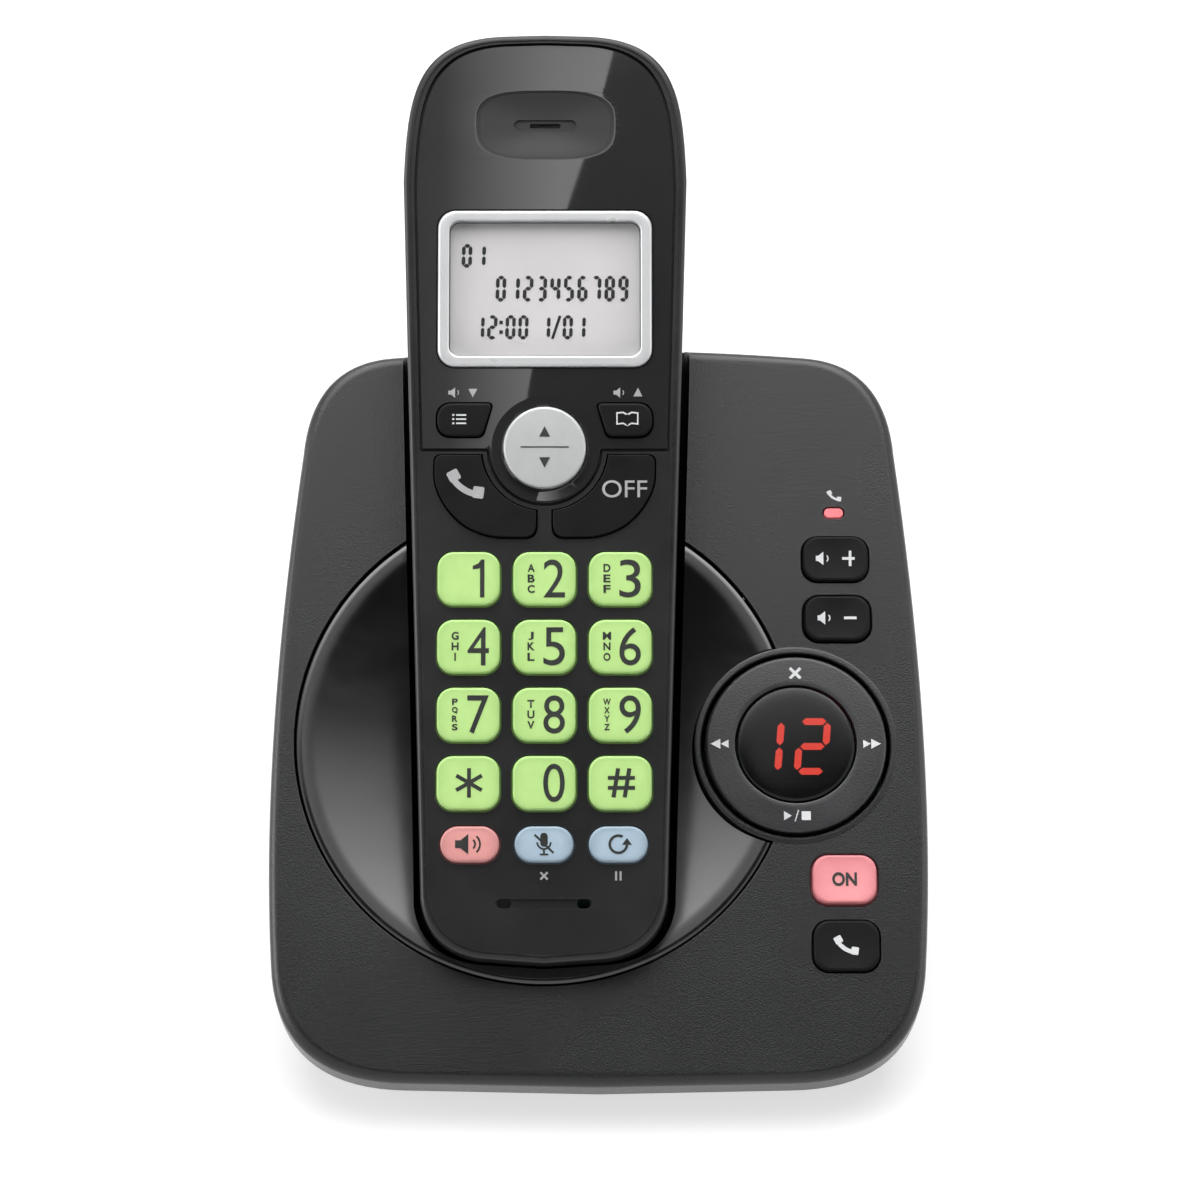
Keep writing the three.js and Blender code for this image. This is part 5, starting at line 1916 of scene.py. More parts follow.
def grown_outline(corners: Sequence[Corner], hand: Hand, grow: float, radii: Sequence[float]) -> tuple[Point, ...]:
    """Outline with round corners on one side of the handset, grown by a margin."""
    points = [(hand.value * (x + grow * across), y + grow * along) for x, y, across, along in corners]
    return tuple(rounded_polygon(points, radii, 9))


@dataclass(frozen=True)
class KeyShape:
    """One key of the handset: its node, outline and look."""

    node: str
    outline: tuple[Point, ...]
    rise: float
    finish: Finish
    slot: str
    grown: tuple[Point, ...]
    opening: tuple[Point, ...]
    round_about: Point | None = None


@dataclass(frozen=True)
class KeyPad:
    """Places and sizes of all the handset's keys."""

    flange: float = 0.7
    flange_top: float = -3.4
    flange_bottom: float = -4.3
    edge: float = 0.5
    column_pitch: float = 13.45
    row_pitch: float = 12.15
    top_row: float = 69.6
    key_width: float = 11.1
    key_length: float = 9.6
    key_corner: float = 2.9
    key_rise: float = 1.2
    pill_y: float = 22.3
    pill_pitch: float = 13.1
    pill_width: float = 10.4
    pill_length: float = 6.4
    pill_rise: float = 1.1
    call_rise: float = 0.9
    call_clearance: float = 1.0
    side_corners: tuple[Corner, ...] = (
        (19.2, 95.3, 1, -1), (11.2, 95.3, -1, -1), (9.3, 101.3, -1, 1), (19.2, 101.3, 1, 1),
    )
    side_radii: tuple[float, ...] = (2.9, 1.1, 1.1, 2.9)
    call_corners: tuple[Corner, ...] = (
        (1.5, 77.1, -1, -1), (1.5, 82, -1, 1), (1.5, PlateShape.lower_edge, 1, 0), (6.4, 91.9, 0, 1),
        (19.6, 91.9, 1, 1), (19.6, 86.6, 1, 0), (17.6, 82.4, 0.8, -0.6), (14.2, 79.0, 0.6, -0.8), (9.6, 77.2, 0, -1),
    )
    call_radii: tuple[float, ...] = (2.4, 0, 0, 0, 1.5, 2.0, 2.3, 2.2, 2.2)
    rows: tuple[tuple[str, ...], ...] = (
        ("key_1", "key_2", "key_3"),
        ("key_4", "key_5", "key_6"),
        ("key_7", "key_8", "key_9"),
        ("key_star", "key_0", "key_hash"),
    )

    def number_keys(self) -> list[KeyShape]:
        """The twelve glowing keys.

        Returns:
            The keys' facts.
        """
        keys = []
        for row, names in enumerate(self.rows):
            for column, name in enumerate(names):
                x, y = (column - 1) * self.column_pitch, self.top_row - row * self.row_pitch

                def outline(grow: float) -> tuple[Point, ...]:
                    """This key's outline, grown by a margin."""
                    wide, long = self.key_width + grow * 2, self.key_length + grow * 2
                    return tuple(rounded_box(x, y, wide, long, self.key_corner + grow, 9))

                keys.append(self.key(name, outline, self.key_rise, Look.GREEN, "glow_green"))
        return keys

    def pills(self) -> list[KeyShape]:
        """The three pill keys below.

        Returns:
            The keys' facts.
        """
        looks = (
            ("speakerphone_button", Look.PINK_PILL, "pink"),
            ("mute_button", Look.BLUE, "blue_grey"),
            ("redial_button", Look.BLUE, "blue_grey"),
        )
        keys = []
        for column, (name, finish, slot) in enumerate(looks):
            x = (column - 1) * self.pill_pitch

            def outline(grow: float) -> tuple[Point, ...]:
                """This pill's outline, grown by a margin."""
                wide, long = self.pill_width + grow * 2, self.pill_length + grow * 2
                return tuple(pill(x, self.pill_y, wide, long, 12))

            keys.append(self.key(name, outline, self.pill_rise, finish, slot))
        return keys

    def side_keys(self) -> list[KeyShape]:
        """The two dark keys beside the menu button.

        Returns:
            The keys' facts.
        """
        keys = []
        for name, hand in (("call_list_button", Hand.LEFT), ("phonebook_button", Hand.RIGHT)):

            def outline(grow: float) -> tuple[Point, ...]:
                """This key's outline, grown by a margin."""
                return grown_outline(self.side_corners, hand, grow, [r + grow / 2 for r in self.side_radii])

            keys.append(self.key(name, outline, self.call_rise, Look.KEY_DARK, "key_black"))
        return keys

    def call_keys(self, face: PlateShape) -> list[KeyShape]:
        """The talk and off keys, which curve round the menu button.

        Args:
            face: The faceplate, whose menu button they curve round.

        Returns:
            The keys' facts.
        """
        keys = []
        for name, hand in (("talk_button", Hand.LEFT), ("off_button", Hand.RIGHT)):

            def outline(grow: float) -> tuple[Point, ...]:
                """This key's outline before the menu button's ring is cut away."""
                return grown_outline(self.call_corners, hand, grow, self.call_radii)

            keys.append(self.key(name, outline, self.call_rise, Look.KEY_DARK, "key_black", (0.0, face.lower_edge)))
        return keys

    @staticmethod
    def key(
        name: str,
        outline: Callable[[float], tuple[Point, ...]],
        rise: float,
        finish: Finish,
        slot: str,
        round_about: Point | None = None,
    ) -> KeyShape:
        """Gather a key's facts, with its flange and its opening."""
        return KeyShape(name, outline(0.0), rise, finish, slot, outline(0.7), outline(GAP), round_about)


@dataclass(frozen=True)
class Handset:
    """The cordless handset with its screen, keys, battery door and contacts."""

    shape: HandsetShape = HandsetShape()
    face: PlateShape = PlateShape()
    pad: KeyPad = KeyPad()
    wall: float = 1.7
    skin: float = 1.6
    seat_wall: float = 0.8
    opening_edge: float = 0.25
    face_round: float = 0.9
    soft_half: float = 20.3
    menu_rise: float = 1.7
    menu_flat: float = 2.5
    menu_fall: float = 0.1
    menu_edge: Point = (0.55, 0.45)
    rim_line: float = 1.05
    rim_width: float = 0.25
    rim_depth: float = 0.2
    mouth_y: float = 11.9
    mouth_width: float = 17.1
    mouth_length: float = 1.7
    mouth_depth: float = 0.6
    mouth_hole_x: float = 7.0
    mouth_hole_width: float = 2.4
    door_half: float = 17.0
    door_bottom: float = 40.0
    door_top: float = 98.0
    door_thickness: float = 1.6
    door_corner: float = 0.6
    bay_half: float = 12.0
    bay_ends: Point = (44.0, 92.0)
    bay_depths: Point = (-23.25, -10.0)
    bay_wall: float = 1.2
    slot_y: float = 128.0
    slot_pitch: float = 2.8
    slot_length: float = 9.0
    slot_width: float = 1.3
    slot_reach: float = 8.0
    contact_y: float = 12.0
    contact_width: float = 3.6
    contact_length: float = 5.8
    contact_depth: float = 14.0
    rib_pitch: float = 1.5
    rib_length: float = 8.5
    rib_width: float = 0.75
    rib_depth: float = 0.6

    def build(self, kit: Kit) -> None:
        """Model every visible piece of the handset.

        Args:
            kit: Places, palette and frame of the scene.
        """
        keys = [*self.pad.number_keys(), *self.pad.pills(), *self.pad.side_keys(), *self.pad.call_keys(self.face)]
        self.add_front(kit, keys)
        self.add_faceplate(kit, keys)
        self.add_screen(kit)
        self.add_keys(kit, keys)
        self.add_menu(kit)
        self.add_back(kit)

    def clear_ring(self, shrink: float) -> Mesh:
        """The round column that the talk and off keys keep clear of."""
        radius = self.face.menu_radius + self.face.ring_wall + self.face.groove + self.pad.call_clearance - shrink
        return drum("clear_ring", radius, -REACH, ABOVE, (0, self.face.lower_edge))

    def opening(self, key: KeyShape, low: float) -> Mesh:
        """The tool that cuts a key's opening.

        Args:
            key: The key's facts.
            low: Height at which the tool starts.

        Returns:
            The tool.
        """
        tool = plate("key_opening", key.opening, low, REACH)
        if key.round_about is not None:
            cut(tool, self.clear_ring(GAP))
        return tool

    def add_front(self, kit: Kit, keys: Sequence[KeyShape]) -> None:
        """The front housing with its rounded rim, key openings and mouth groove.

        Args:
            kit: Places, palette and frame of the scene.
            keys: The facts of all the handset's keys.
        """
        shape, face = self.shape, self.face
        rings = [flat_ring(shape.side(0.0), -shape.front_depth)]
        rings += [flat_ring(shape.side(inset), height) for inset, height in rounding(self.face_round, 8)]
        front = lofted("handset_front", rings)
        cut(front, shape.blank(self.wall, self.wall, -shape.front_depth - ABOVE, -self.skin))
        seat = face.blank(shape, face.groove + self.seat_wall, -face.seat - self.skin, -self.seat_wall)
        room = shape.blank(self.wall / 2, self.wall / 2, -shape.front_depth, -self.seat_wall)
        join_solid(front, apply_boolean(seat, [room], "INTERSECT"))
        cut(front, face.blank(shape, face.groove, -face.seat, ABOVE))
        cut(front, *[self.opening(key, -shape.front_depth) for key in keys])
        menu = face.menu_radius + GAP
        cut(front, drum("menu_opening", menu, -REACH, ABOVE, (0, face.lower_edge), 64))
        cut(front, face.slit(), plate("window", face.window(-1.1), -REACH, REACH))
        groove = pill(0, self.mouth_y, self.mouth_width, self.mouth_length)
        cut(front, plate("mouth_groove", groove, -self.mouth_depth, REACH))
        for hand in Hand:
            hole = pill(hand.value * self.mouth_hole_x, self.mouth_y, self.mouth_hole_width, self.mouth_length)
            cut(front, plate("mouth_hole", hole, -shape.front_depth, REACH))
        line = shape.blank(self.rim_line, self.rim_line, -self.rim_depth, REACH)
        cut(line, shape.blank(self.rim_line + self.rim_width, self.rim_line + self.rim_width, -REACH, REACH * 2))
        cut(front, line)
        front.name = "handset_front_housing"
        finish_edit(front)
        low = face.lower_edge - face.groove - 0.5

        def at_opening(a: Vector, b: Vector) -> bool:
            """Whether an edge lies in the face, below the faceplate and inside the rim's line."""
            return max(abs(a.z), abs(b.z)) < 0.01 and a.y < low and max(abs(a.x), abs(b.x)) < self.soft_half

        bevel_edges(front, at_opening, self.opening_edge, 3)
        kit.add(front, kit.places.grip, "handset", Look.HANDSET, "satin_black", ["handset_front_cover"])

    def add_faceplate(self, kit: Kit, keys: Sequence[KeyShape]) -> None:
        """The polished faceplate with its ear dip, slit and openings.

        Args:
            kit: Places, palette and frame of the scene.
            keys: The facts of all the handset's keys.
        """
        face = self.face
        low = -face.seat + GAP
        panel = face.blank(self.shape, 0.0, low, face.rise)
        panel.name = "polished_faceplate"
        finish_edit(panel)
        bevel_edges(panel, level_edges(face.rise), face.plate_round, 4)
        width, length = face.screen_width + GAP * 2, face.screen_length + GAP * 2
        frame = rounded_box(0, face.screen_y, width, length, face.screen_corner + GAP, 10)
        cut(panel, plate("frame_opening", frame, -REACH, REACH), face.slit())
        menu = face.menu_radius + GAP
        side_keys = [key for key in keys if key.node in ("call_list_button", "phonebook_button")]
        cut(panel, *[self.opening(key, -REACH) for key in side_keys])
        cut(panel, drum("menu_opening", menu, -REACH, ABOVE, (0, face.lower_edge)))
        surround = pill(0, face.ear_y, face.surround_width, face.surround_length, 10)
        floor, rim = face.rise - face.well_drop, face.menu_radius + face.ring_wall - face.plate_round
        well = [(0, floor), (menu + face.well_edge, floor), (rim, face.rise - 0.02), (rim, ABOVE), (0, ABOVE)]
        cut(panel, face.scoop())
        cut(panel, plate("slit_surround", surround, face.rise - face.surround_depth, REACH))
        cut(panel, turned("menu_well", well, (0, face.lower_edge)))
        finish_edit(panel)
        map_border(panel, rounded_box(0, face.ear_y, face.ear_width, face.ear_length, face.ear_length / 4))
        kit.add(panel, kit.places.grip, "handset", Look.PLATE, "gloss_black", ["faceplate"])

    def add_screen(self, kit: Kit) -> None:
        """The silver frame round the screen, its clear lens and the grey display.

        Args:
            kit: Places, palette and frame of the scene.
        """
        face, grip = self.face, kit.places.grip
        frame = ring_body("silver_screen_frame", self.frame_rings())
        kit.add(frame, grip, "handset", Look.SILVER, "silver", ["display_frame"])
        top = face.screen_rise - face.lens_sink
        lens = plate("clear_screen_lens", face.window(0.0), top - face.lens_thickness, top, 0.1, 2)
        kit.add(lens, grip, "handset", Look.CLEAR, "lens_grey", ["display_lens"])
        outline = face.window(face.screen_overlap)
        panel = plate("screen_panel", outline, -face.seat + 0.06, face.screen_face)
        finish_edit(panel)
        map_border(panel, outline)
        kit.add(panel, grip, "handset", Look.SCREEN, "lens_grey")

    def frame_rings(self) -> list[Ring]:
        """The rings that run round the screen's frame, over its outer edge and down its inner one.

        Returns:
            The rings in order.
        """
        face = self.face

        def ring(width: float, length: float, corner: float, grow: float, height: float) -> Ring:
            """One ring, grown by a margin, at a height."""
            outline = rounded_box(0, face.screen_y, width + grow * 2, length + grow * 2, corner + grow, 12)
            return [Vector((x, y, height)) for x, y in outline]

        outer = (face.screen_width, face.screen_length, face.screen_corner)
        inner = (face.window_width, face.window_length, face.window_corner)
        low = -face.seat + GAP
        over = [ring(*outer, -inset, face.screen_rise + below) for inset, below in rounding(face.frame_edge, 6)]
        down = [ring(*inner, GAP + inset, face.screen_rise + below) for inset, below in rounding(face.window_edge, 6)]
        return [ring(*outer, 0.0, low), *over, *reversed(down), ring(*inner, GAP, low)]

    def add_keys(self, kit: Kit, keys: Sequence[KeyShape]) -> None:
        """The number keys, pills, side keys and the talk and off keys.

        Args:
            kit: Places, palette and frame of the scene.
            keys: The facts of all the handset's keys.
        """
        pad = self.pad
        for key in keys:
            if key.round_about is None:
                cap = plate("cap", key.outline, pad.flange_bottom, key.rise, pad.edge, 5)
            else:
                cap = plate("cap", key.outline, pad.flange_bottom, key.rise)
                cut(cap, self.clear_ring(0.0))
                finish_edit(cap)
                bevel_edges(cap, level_edges(key.rise), pad.edge, 5)
            flange = plate("flange", key.grown, pad.flange_bottom, pad.flange_top)
            if key.round_about is not None:
                cut(flange, self.clear_ring(-pad.flange))
            join_solid(cap, flange)
            cap.name = key.node + "_cap"
            finish_edit(cap)
            map_border(cap, key.outline)
            kit.add(cap, kit.places.grip, key.node, key.finish, key.slot, [key.node])

    def add_menu(self, kit: Kit) -> None:
        """The round silver menu button.

        Args:
            kit: Places, palette and frame of the scene.
        """
        radius, rise, pad = self.face.menu_radius, self.menu_rise, self.pad
        (across, up), shoulder, foot = self.menu_edge, rise - self.menu_fall, radius + pad.flange
        crown = [(radius - across * inset, shoulder + up * below) for inset, below in rounding(1.0, 6)]
        profile = [
            (0, pad.flange_bottom), (foot, pad.flange_bottom), (foot, pad.flange_top), (radius, pad.flange_top),
            *crown, (radius - self.menu_flat, rise - 0.03), (0, rise),
        ]
        button = turned("menu_button_cap", profile, (0, self.face.lower_edge))
        kit.add(button, kit.places.grip, "menu_button", Look.BUTTON_SILVER, "silver", ["menu_button"])

    def add_back(self, kit: Kit) -> None:
        """The rounded back housing with its battery door and speaker slots.

        Args:
            kit: Places, palette and frame of the scene.
        """
        shape, grip = self.shape, kit.places.grip
        seat = self.door_thickness + GAP
        back = shape.back_blank(0.0, 0.0, -shape.front_depth - GAP)
        cut(back, shape.back_blank(self.wall, self.wall + seat, ABOVE - shape.front_depth))
        cut(back, self.foot_step(seat))
        wide, top = self.door_half + GAP, self.door_top + GAP
        cut(back, block("door_seat", (-wide, self.door_bottom - 2), (wide, top), -REACH, -shape.depth + seat))
        half, low, high, wall = self.bay_half, *self.bay_ends, self.bay_wall
        join_solid(back, block("battery_walls", (-half, low), (half, high), *self.bay_depths))
        corner, opposite = (wall - half, low + wall), (half - wall, high - wall)
        cut(back, block("battery_room", corner, opposite, -REACH, self.bay_depths[1] - wall))
        for i in range(-2, 3):
            slot = pill(0, self.slot_y + i * self.slot_pitch, self.slot_length, self.slot_width)
            cut(back, plate("speaker_slot", slot, -REACH, -shape.depth + self.slot_reach))
        for side in ("left", "right"):
            low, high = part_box(f"handset_contact_{side}")
            middle = (low.x + high.x) / 2 / MM - shape.origin[0]
            outline = rounded_box(middle, self.contact_y, self.contact_width, self.contact_length, GAP, 2)
            cut(back, plate("contact_opening", outline, -REACH, -self.contact_depth))
        back.name = "handset_back_housing"
        finish_edit(back)
        kit.add(back, grip, "handset", Look.HANDSET, "satin_black", ["handset_back_cover"])
        self.add_door(kit)

    def foot_step(self, seat: float) -> Mesh:
        """The tool that sinks the lower back by the door's thickness, so that the door can slide over it.

        Args:
            seat: Depth of the door's seat.

        Returns:
            The tool.
        """
        shape, start = self.shape, -ABOVE
        low, high = -shape.depth + seat, -shape.end_depth + seat
        profile = [(start, -REACH), (shape.kink, -REACH), (shape.kink, low), (0.0, high), (start, high)]
        rings = [[Vector((x, y, z)) for y, z in profile] for x in (-shape.half_width, shape.half_width)]
        return lofted_prism("foot_step", rings)

    def add_door(self, kit: Kit) -> None:
        """The sliding battery door with its grip ribs.

        Args:
            kit: Places, palette and frame of the scene.
        """
        shape, low, high = self.shape, self.door_bottom + GAP, self.door_top
        outline = rounded_box(0, (low + high) / 2, self.door_half * 2, high - low, self.door_corner, 4)
        door = plate("battery_door_panel", outline, -REACH, -shape.depth + self.door_thickness)
        apply_boolean(door, [shape.back_blank(0.0, 0.0, 0.0)], "INTERSECT")
        for i in range(-1, 2):
            rib = pill(0, self.door_bottom + 6 + i * self.rib_pitch, self.rib_length, self.rib_width)
            cut(door, plate("rib", rib, -REACH, -shape.depth + self.rib_depth))
        door.name = "battery_door_panel"
        finish_edit(door)
        kit.add(door, kit.places.grip, "battery_door", Look.HANDSET, "satin_black", ["battery_door"])


# Lettering, digits and symbols


LEGEND_THICKNESS = 0.06
LEGEND_SINK = 0.02
FUSED_PARTS = 9

# Which of the seven segments each digit lights: top, upper right, lower right, bottom, lower left, upper left, middle
SEGMENTS = {
    "0": "abcdef", "1": "bc", "2": "abged", "3": "abgcd", "4": "fgbc", "5": "afgcd",
    "6": "afgedc", "7": "abc", "8": "abcdefg", "9": "abcdfg",
}


def shift(outline: Sequence[Point], x: float, y: float, scale: float = 1.0, turn: float = 0.0) -> list[Point]:
    """Scale, turn and move an outline."""
    c, s = math.cos(turn) * scale, math.sin(turn) * scale
    return [(x + px * c - py * s, y + px * s + py * c) for px, py in outline]


def arc_band(radius: float, width: float, start: float, end: float, steps: int = 24) -> list[Point]:
    """Outline of a part of a ring about the origin.

    Args:
        radius: Radius of its middle line.
        width: Its width.
        start: Where it starts, in degrees.
        end: Where it ends, in degrees.
        steps: Steps along it.

    Returns:
        The outline's points.
    """
    turns = [math.radians(start + (end - start) * i / steps) for i in range(steps + 1)]
    outer = [((radius + width / 2) * math.cos(t), (radius + width / 2) * math.sin(t)) for t in turns]
    inner = [((radius - width / 2) * math.cos(t), (radius - width / 2) * math.sin(t)) for t in reversed(turns)]
    return outer + inner


def bar(x: float, y: float, width: float, length: float, turn: float = 0.0) -> list[Point]:
    """Outline of a plain bar about its middle."""
    half, long = width / 2, length / 2
    return shift([(-half, -long), (half, -long), (half, long), (-half, long)], x, y, 1.0, turn)


Glyph = list[list[Point]]


class Glyphs:
    """Plain symbols about the origin, about one unit high."""

    @staticmethod
    def handset() -> Glyph:
        """A telephone handset, lying at a slant.

        Returns:
            The symbol's outlines.
        """
        reach, end_turn, end_reach = 0.95, 0.47, 0.95 * 0.94
        back = arc_band(reach, 0.17, 270 - 33, 270 + 33)
        cap = rounded_box(0, 0, 0.3, 0.32, 0.05, 3)
        ends = [
            shift(cap, end_reach * math.sin(turn), -end_reach * math.cos(turn), 1.0, turn)
            for turn in (-end_turn, end_turn)
        ]
        return [shift(shift(part, 0.0, 0.8), 0.0, 0.0, 1.0, -0.6) for part in (back, *ends)]

    @staticmethod
    def one() -> Glyph:
        """The digit one.

        Returns:
            The symbol's outlines.
        """
        return [[
            (0.04, -0.5), (0.155, -0.5), (0.155, 0.5), (0.07, 0.5),
            (0.0, 0.4), (-0.15, 0.33), (-0.15, 0.24), (0.04, 0.27),
        ]]

    @staticmethod
    def speaker(waves: int = 2) -> Glyph:
        """A loudspeaker with sound waves.

        Args:
            waves: How many sound waves it sends.

        Returns:
            The symbol's outlines.
        """
        horn = [(-0.62, -0.16), (-0.4, -0.16), (-0.08, -0.42), (-0.08, 0.42), (-0.4, 0.16), (-0.62, 0.16)]
        arcs = [shift(arc_band(0.24 + 0.2 * i, 0.075, -48, 48, 12), -0.04, 0.0) for i in range(waves)]
        return [horn, *arcs]

    @staticmethod
    def crossed_microphone() -> Glyph:
        """A microphone with a stroke through it.

        Returns:
            The symbol's outlines.
        """
        return [
            rounded_box(0, 0.18, 0.3, 0.56, 0.148, 5),
            shift(arc_band(0.27, 0.07, 180, 360), 0.0, 0.08),
            bar(0, -0.3, 0.07, 0.18),
            bar(0, -0.41, 0.34, 0.07),
            bar(0, 0.02, 0.08, 1.05, 0.8),
        ]

    @staticmethod
    def again() -> Glyph:
        """A circular arrow."""
        return [arc_band(0.33, 0.1, 60, 355, 32), [(0.14, -0.02), (0.52, -0.02), (0.33, 0.24)]]

    @staticmethod
    def rows() -> Glyph:
        """A list of three rows.

        Returns:
            The symbol's outlines.
        """
        lines = [bar(0.12, level, 0.72, 0.11) for level in (-0.3, 0.0, 0.3)]
        dots = [bar(-0.44, level, 0.14, 0.13) for level in (-0.3, 0.0, 0.3)]
        return [*lines, *dots]

    @staticmethod
    def book() -> Glyph:
        """An open book.

        Returns:
            The symbol's outlines.
        """
        half = [
            (0, -0.38), (0.22, -0.26), (0.58, -0.3), (0.58, 0.36), (0.22, 0.4), (0, 0.28),
            (0.07, 0.22), (0.24, 0.32), (0.51, 0.29), (0.51, -0.22), (0.22, -0.18), (0.07, -0.26),
        ]
        return [[(across * side, along) for across, along in half] for side in (-1, 1)]

    @staticmethod
    def triangle(turn: float = 0.0) -> Glyph:
        """A solid triangle that points right before it turns."""
        return [shift([(-0.36, -0.42), (0.46, 0.0), (-0.36, 0.42)], 0, 0, 1.0, turn)]

    @staticmethod
    def double_arrow(direction: int) -> Glyph:
        """Two triangles that point the same way, left where the direction is -1."""
        one = [(-0.4 * direction, -0.4), (0.36 * direction, 0.0), (-0.4 * direction, 0.4)]
        return [shift(one, x, 0.0) for x in (-0.4, 0.38)]

    @staticmethod
    def cross() -> Glyph:
        """A multiplication cross."""
        return [bar(0, 0, 0.2, 1.0, turn) for turn in (0.785, -0.785)]

    @staticmethod
    def pause() -> Glyph:
        """Two upright bars."""
        return [bar(x, 0, 0.2, 0.9) for x in (-0.22, 0.22)]

    @staticmethod
    def play_stop() -> Glyph:
        """A triangle, a slash and a square."""
        play = shift([(-0.3, -0.38), (0.34, 0.0), (-0.3, 0.38)], -0.82, 0.0)
        return [play, bar(-0.08, 0.0, 0.09, 0.98, -0.3), bar(0.68, 0.0, 0.74, 0.74)]

    @staticmethod
    def plus() -> Glyph:
        """A plus sign."""
        return [bar(0, 0, 0.17, 1.0), bar(0, 0, 1.0, 0.17)]

    @staticmethod
    def minus() -> Glyph:
        """A minus sign."""
        return [bar(0, 0, 1.0, 0.17)]

    @staticmethod
    def star() -> Glyph:
        """A star of three crossed strokes."""
        return [bar(0, 0, 0.13, 1.0, turn * math.pi / 3) for turn in range(3)]

    @staticmethod
    def hash() -> Glyph:
        """A number sign."""
        uprights = [bar(x, 0, 0.14, 1.0, -0.16) for x in (-0.19, 0.19)]
        return [*uprights, bar(0, 0.17, 0.92, 0.13), bar(0, -0.17, 0.92, 0.13)]


def placed(glyph: Glyph, x: float, y: float, size: float) -> Glyph:
    """Scale a symbol and move it to its place."""
    return [shift(part, x, y, size) for part in glyph]


def seven_segment(
    text: str, x: float, y: float, width: float, height: float, stroke: float, pitch: float, slant: float
) -> Glyph:
    """Digits made of seven bars, with colons, slashes and spaces.

    Args:
        text: The digits to show.
        x: Left end of the row.
        y: Bottom of the row.
        width: Width of a digit.
        height: Height of a digit.
        stroke: Width of a bar.
        pitch: Distance from digit to digit.
        slant: How far the top leans to the right, as a share of the height.

    Returns:
        The outlines of all bars.
    """
    half, middle, tip = stroke / 2, height / 2, stroke * 0.5
    gap = stroke**2 * 0.15

    def level(height_at: float) -> list[Point]:
        """A level bar with pointed ends.

        Args:
            height_at: Height of its middle line.

        Returns:
            The bar's outline.
        """
        left, right = half + gap, width - half - gap
        return [
            (left, height_at), (left + tip, height_at - half), (right - tip, height_at - half),
            (right, height_at), (right - tip, height_at + half), (left + tip, height_at + half),
        ]

    def upright(across: float, low: float, high: float) -> list[Point]:
        """An upright bar with pointed ends.

        Args:
            across: Place of its middle line.
            low: Its lower end.
            high: Its upper end.

        Returns:
            The bar's outline.
        """
        low, high = low + gap, high - gap
        return [
            (across, low), (across + half, low + tip), (across + half, high - tip),
            (across, high), (across - half, high - tip), (across - half, low + tip),
        ]

    low, high = half, height - half
    bars = {
        "a": level(high), "d": level(low), "g": level(middle),
        "b": upright(width - half, middle, high), "c": upright(width - half, low, middle),
        "f": upright(half, middle, high), "e": upright(half, low, middle),
    }
    parts: Glyph = []
    cursor = x
    for sign in text:
        if sign == ":":
            for share in (0.3, 0.7):
                parts.append(shift(bar(0, 0, stroke, stroke), cursor + stroke * 0.4, y + height * share))
            cursor += pitch * 0.42
            continue
        if sign == "/":
            parts.append(shift(bar(0, 0, stroke * 0.8, height, -0.32), cursor + width * 0.35, y + height / 2))
            cursor += pitch * 0.75
            continue
        if sign == " ":
            cursor += pitch * 0.6
            continue
        for name in SEGMENTS[sign]:
            parts.append([(px + cursor + slant * py, py + y) for px, py in bars[name]])
        cursor += pitch
    return parts


def printed(name: str, glyph: Glyph, top: float) -> Mesh:
    """Raise the outlines of a symbol as a print of hardly any height.

    Args:
        name: The print's name.
        glyph: The outlines.
        top: Height of the surface it is printed on.

    Returns:
        The print.
    """
    parts = [plate(name, outline, top - LEGEND_SINK, top + LEGEND_THICKNESS) for outline in glyph]
    if len(parts) > FUSED_PARTS:
        return merge(name, parts)
    whole = join_solid(*parts)
    whole.name = name
    return finish_edit(whole)


def lettering(
    name: str, text: str, x: float, y: float, width: float, height: float, top: float, weight: float = 0.0
) -> Mesh:
    """Set a word in a box of a given size.

    Args:
        name: The print's name.
        text: The word.
        x: Middle of the word, across.
        y: Middle of the word, upwards.
        width: Its width.
        height: Its height.
        top: Height of the surface it is printed on.
        weight: How much bolder than the plain font it is.

    Returns:
        The print.
    """
    deselect()
    bpy.ops.object.text_add()
    words = bpy.context.object
    words.name = name
    words.data.body = text
    words.data.extrude = 0.5
    words.data.offset = weight
    words.data.resolution_u = 6
    bpy.ops.object.convert(target="MESH")
    words = bpy.context.object
    places = [vertex.co for vertex in words.data.vertices]
    low = Vector([min(place[i] for place in places) for i in range(3)])
    high = Vector([max(place[i] for place in places) for i in range(3)])
    size = high - low
    bottom, thickness = top - LEGEND_SINK, LEGEND_SINK + LEGEND_THICKNESS
    for vertex in words.data.vertices:
        across, along, up = [(vertex.co[i] - low[i]) / size[i] for i in range(3)]
        vertex.co = (x + (across - 0.5) * width, y + (along - 0.5) * height, bottom + up * thickness)
    return words


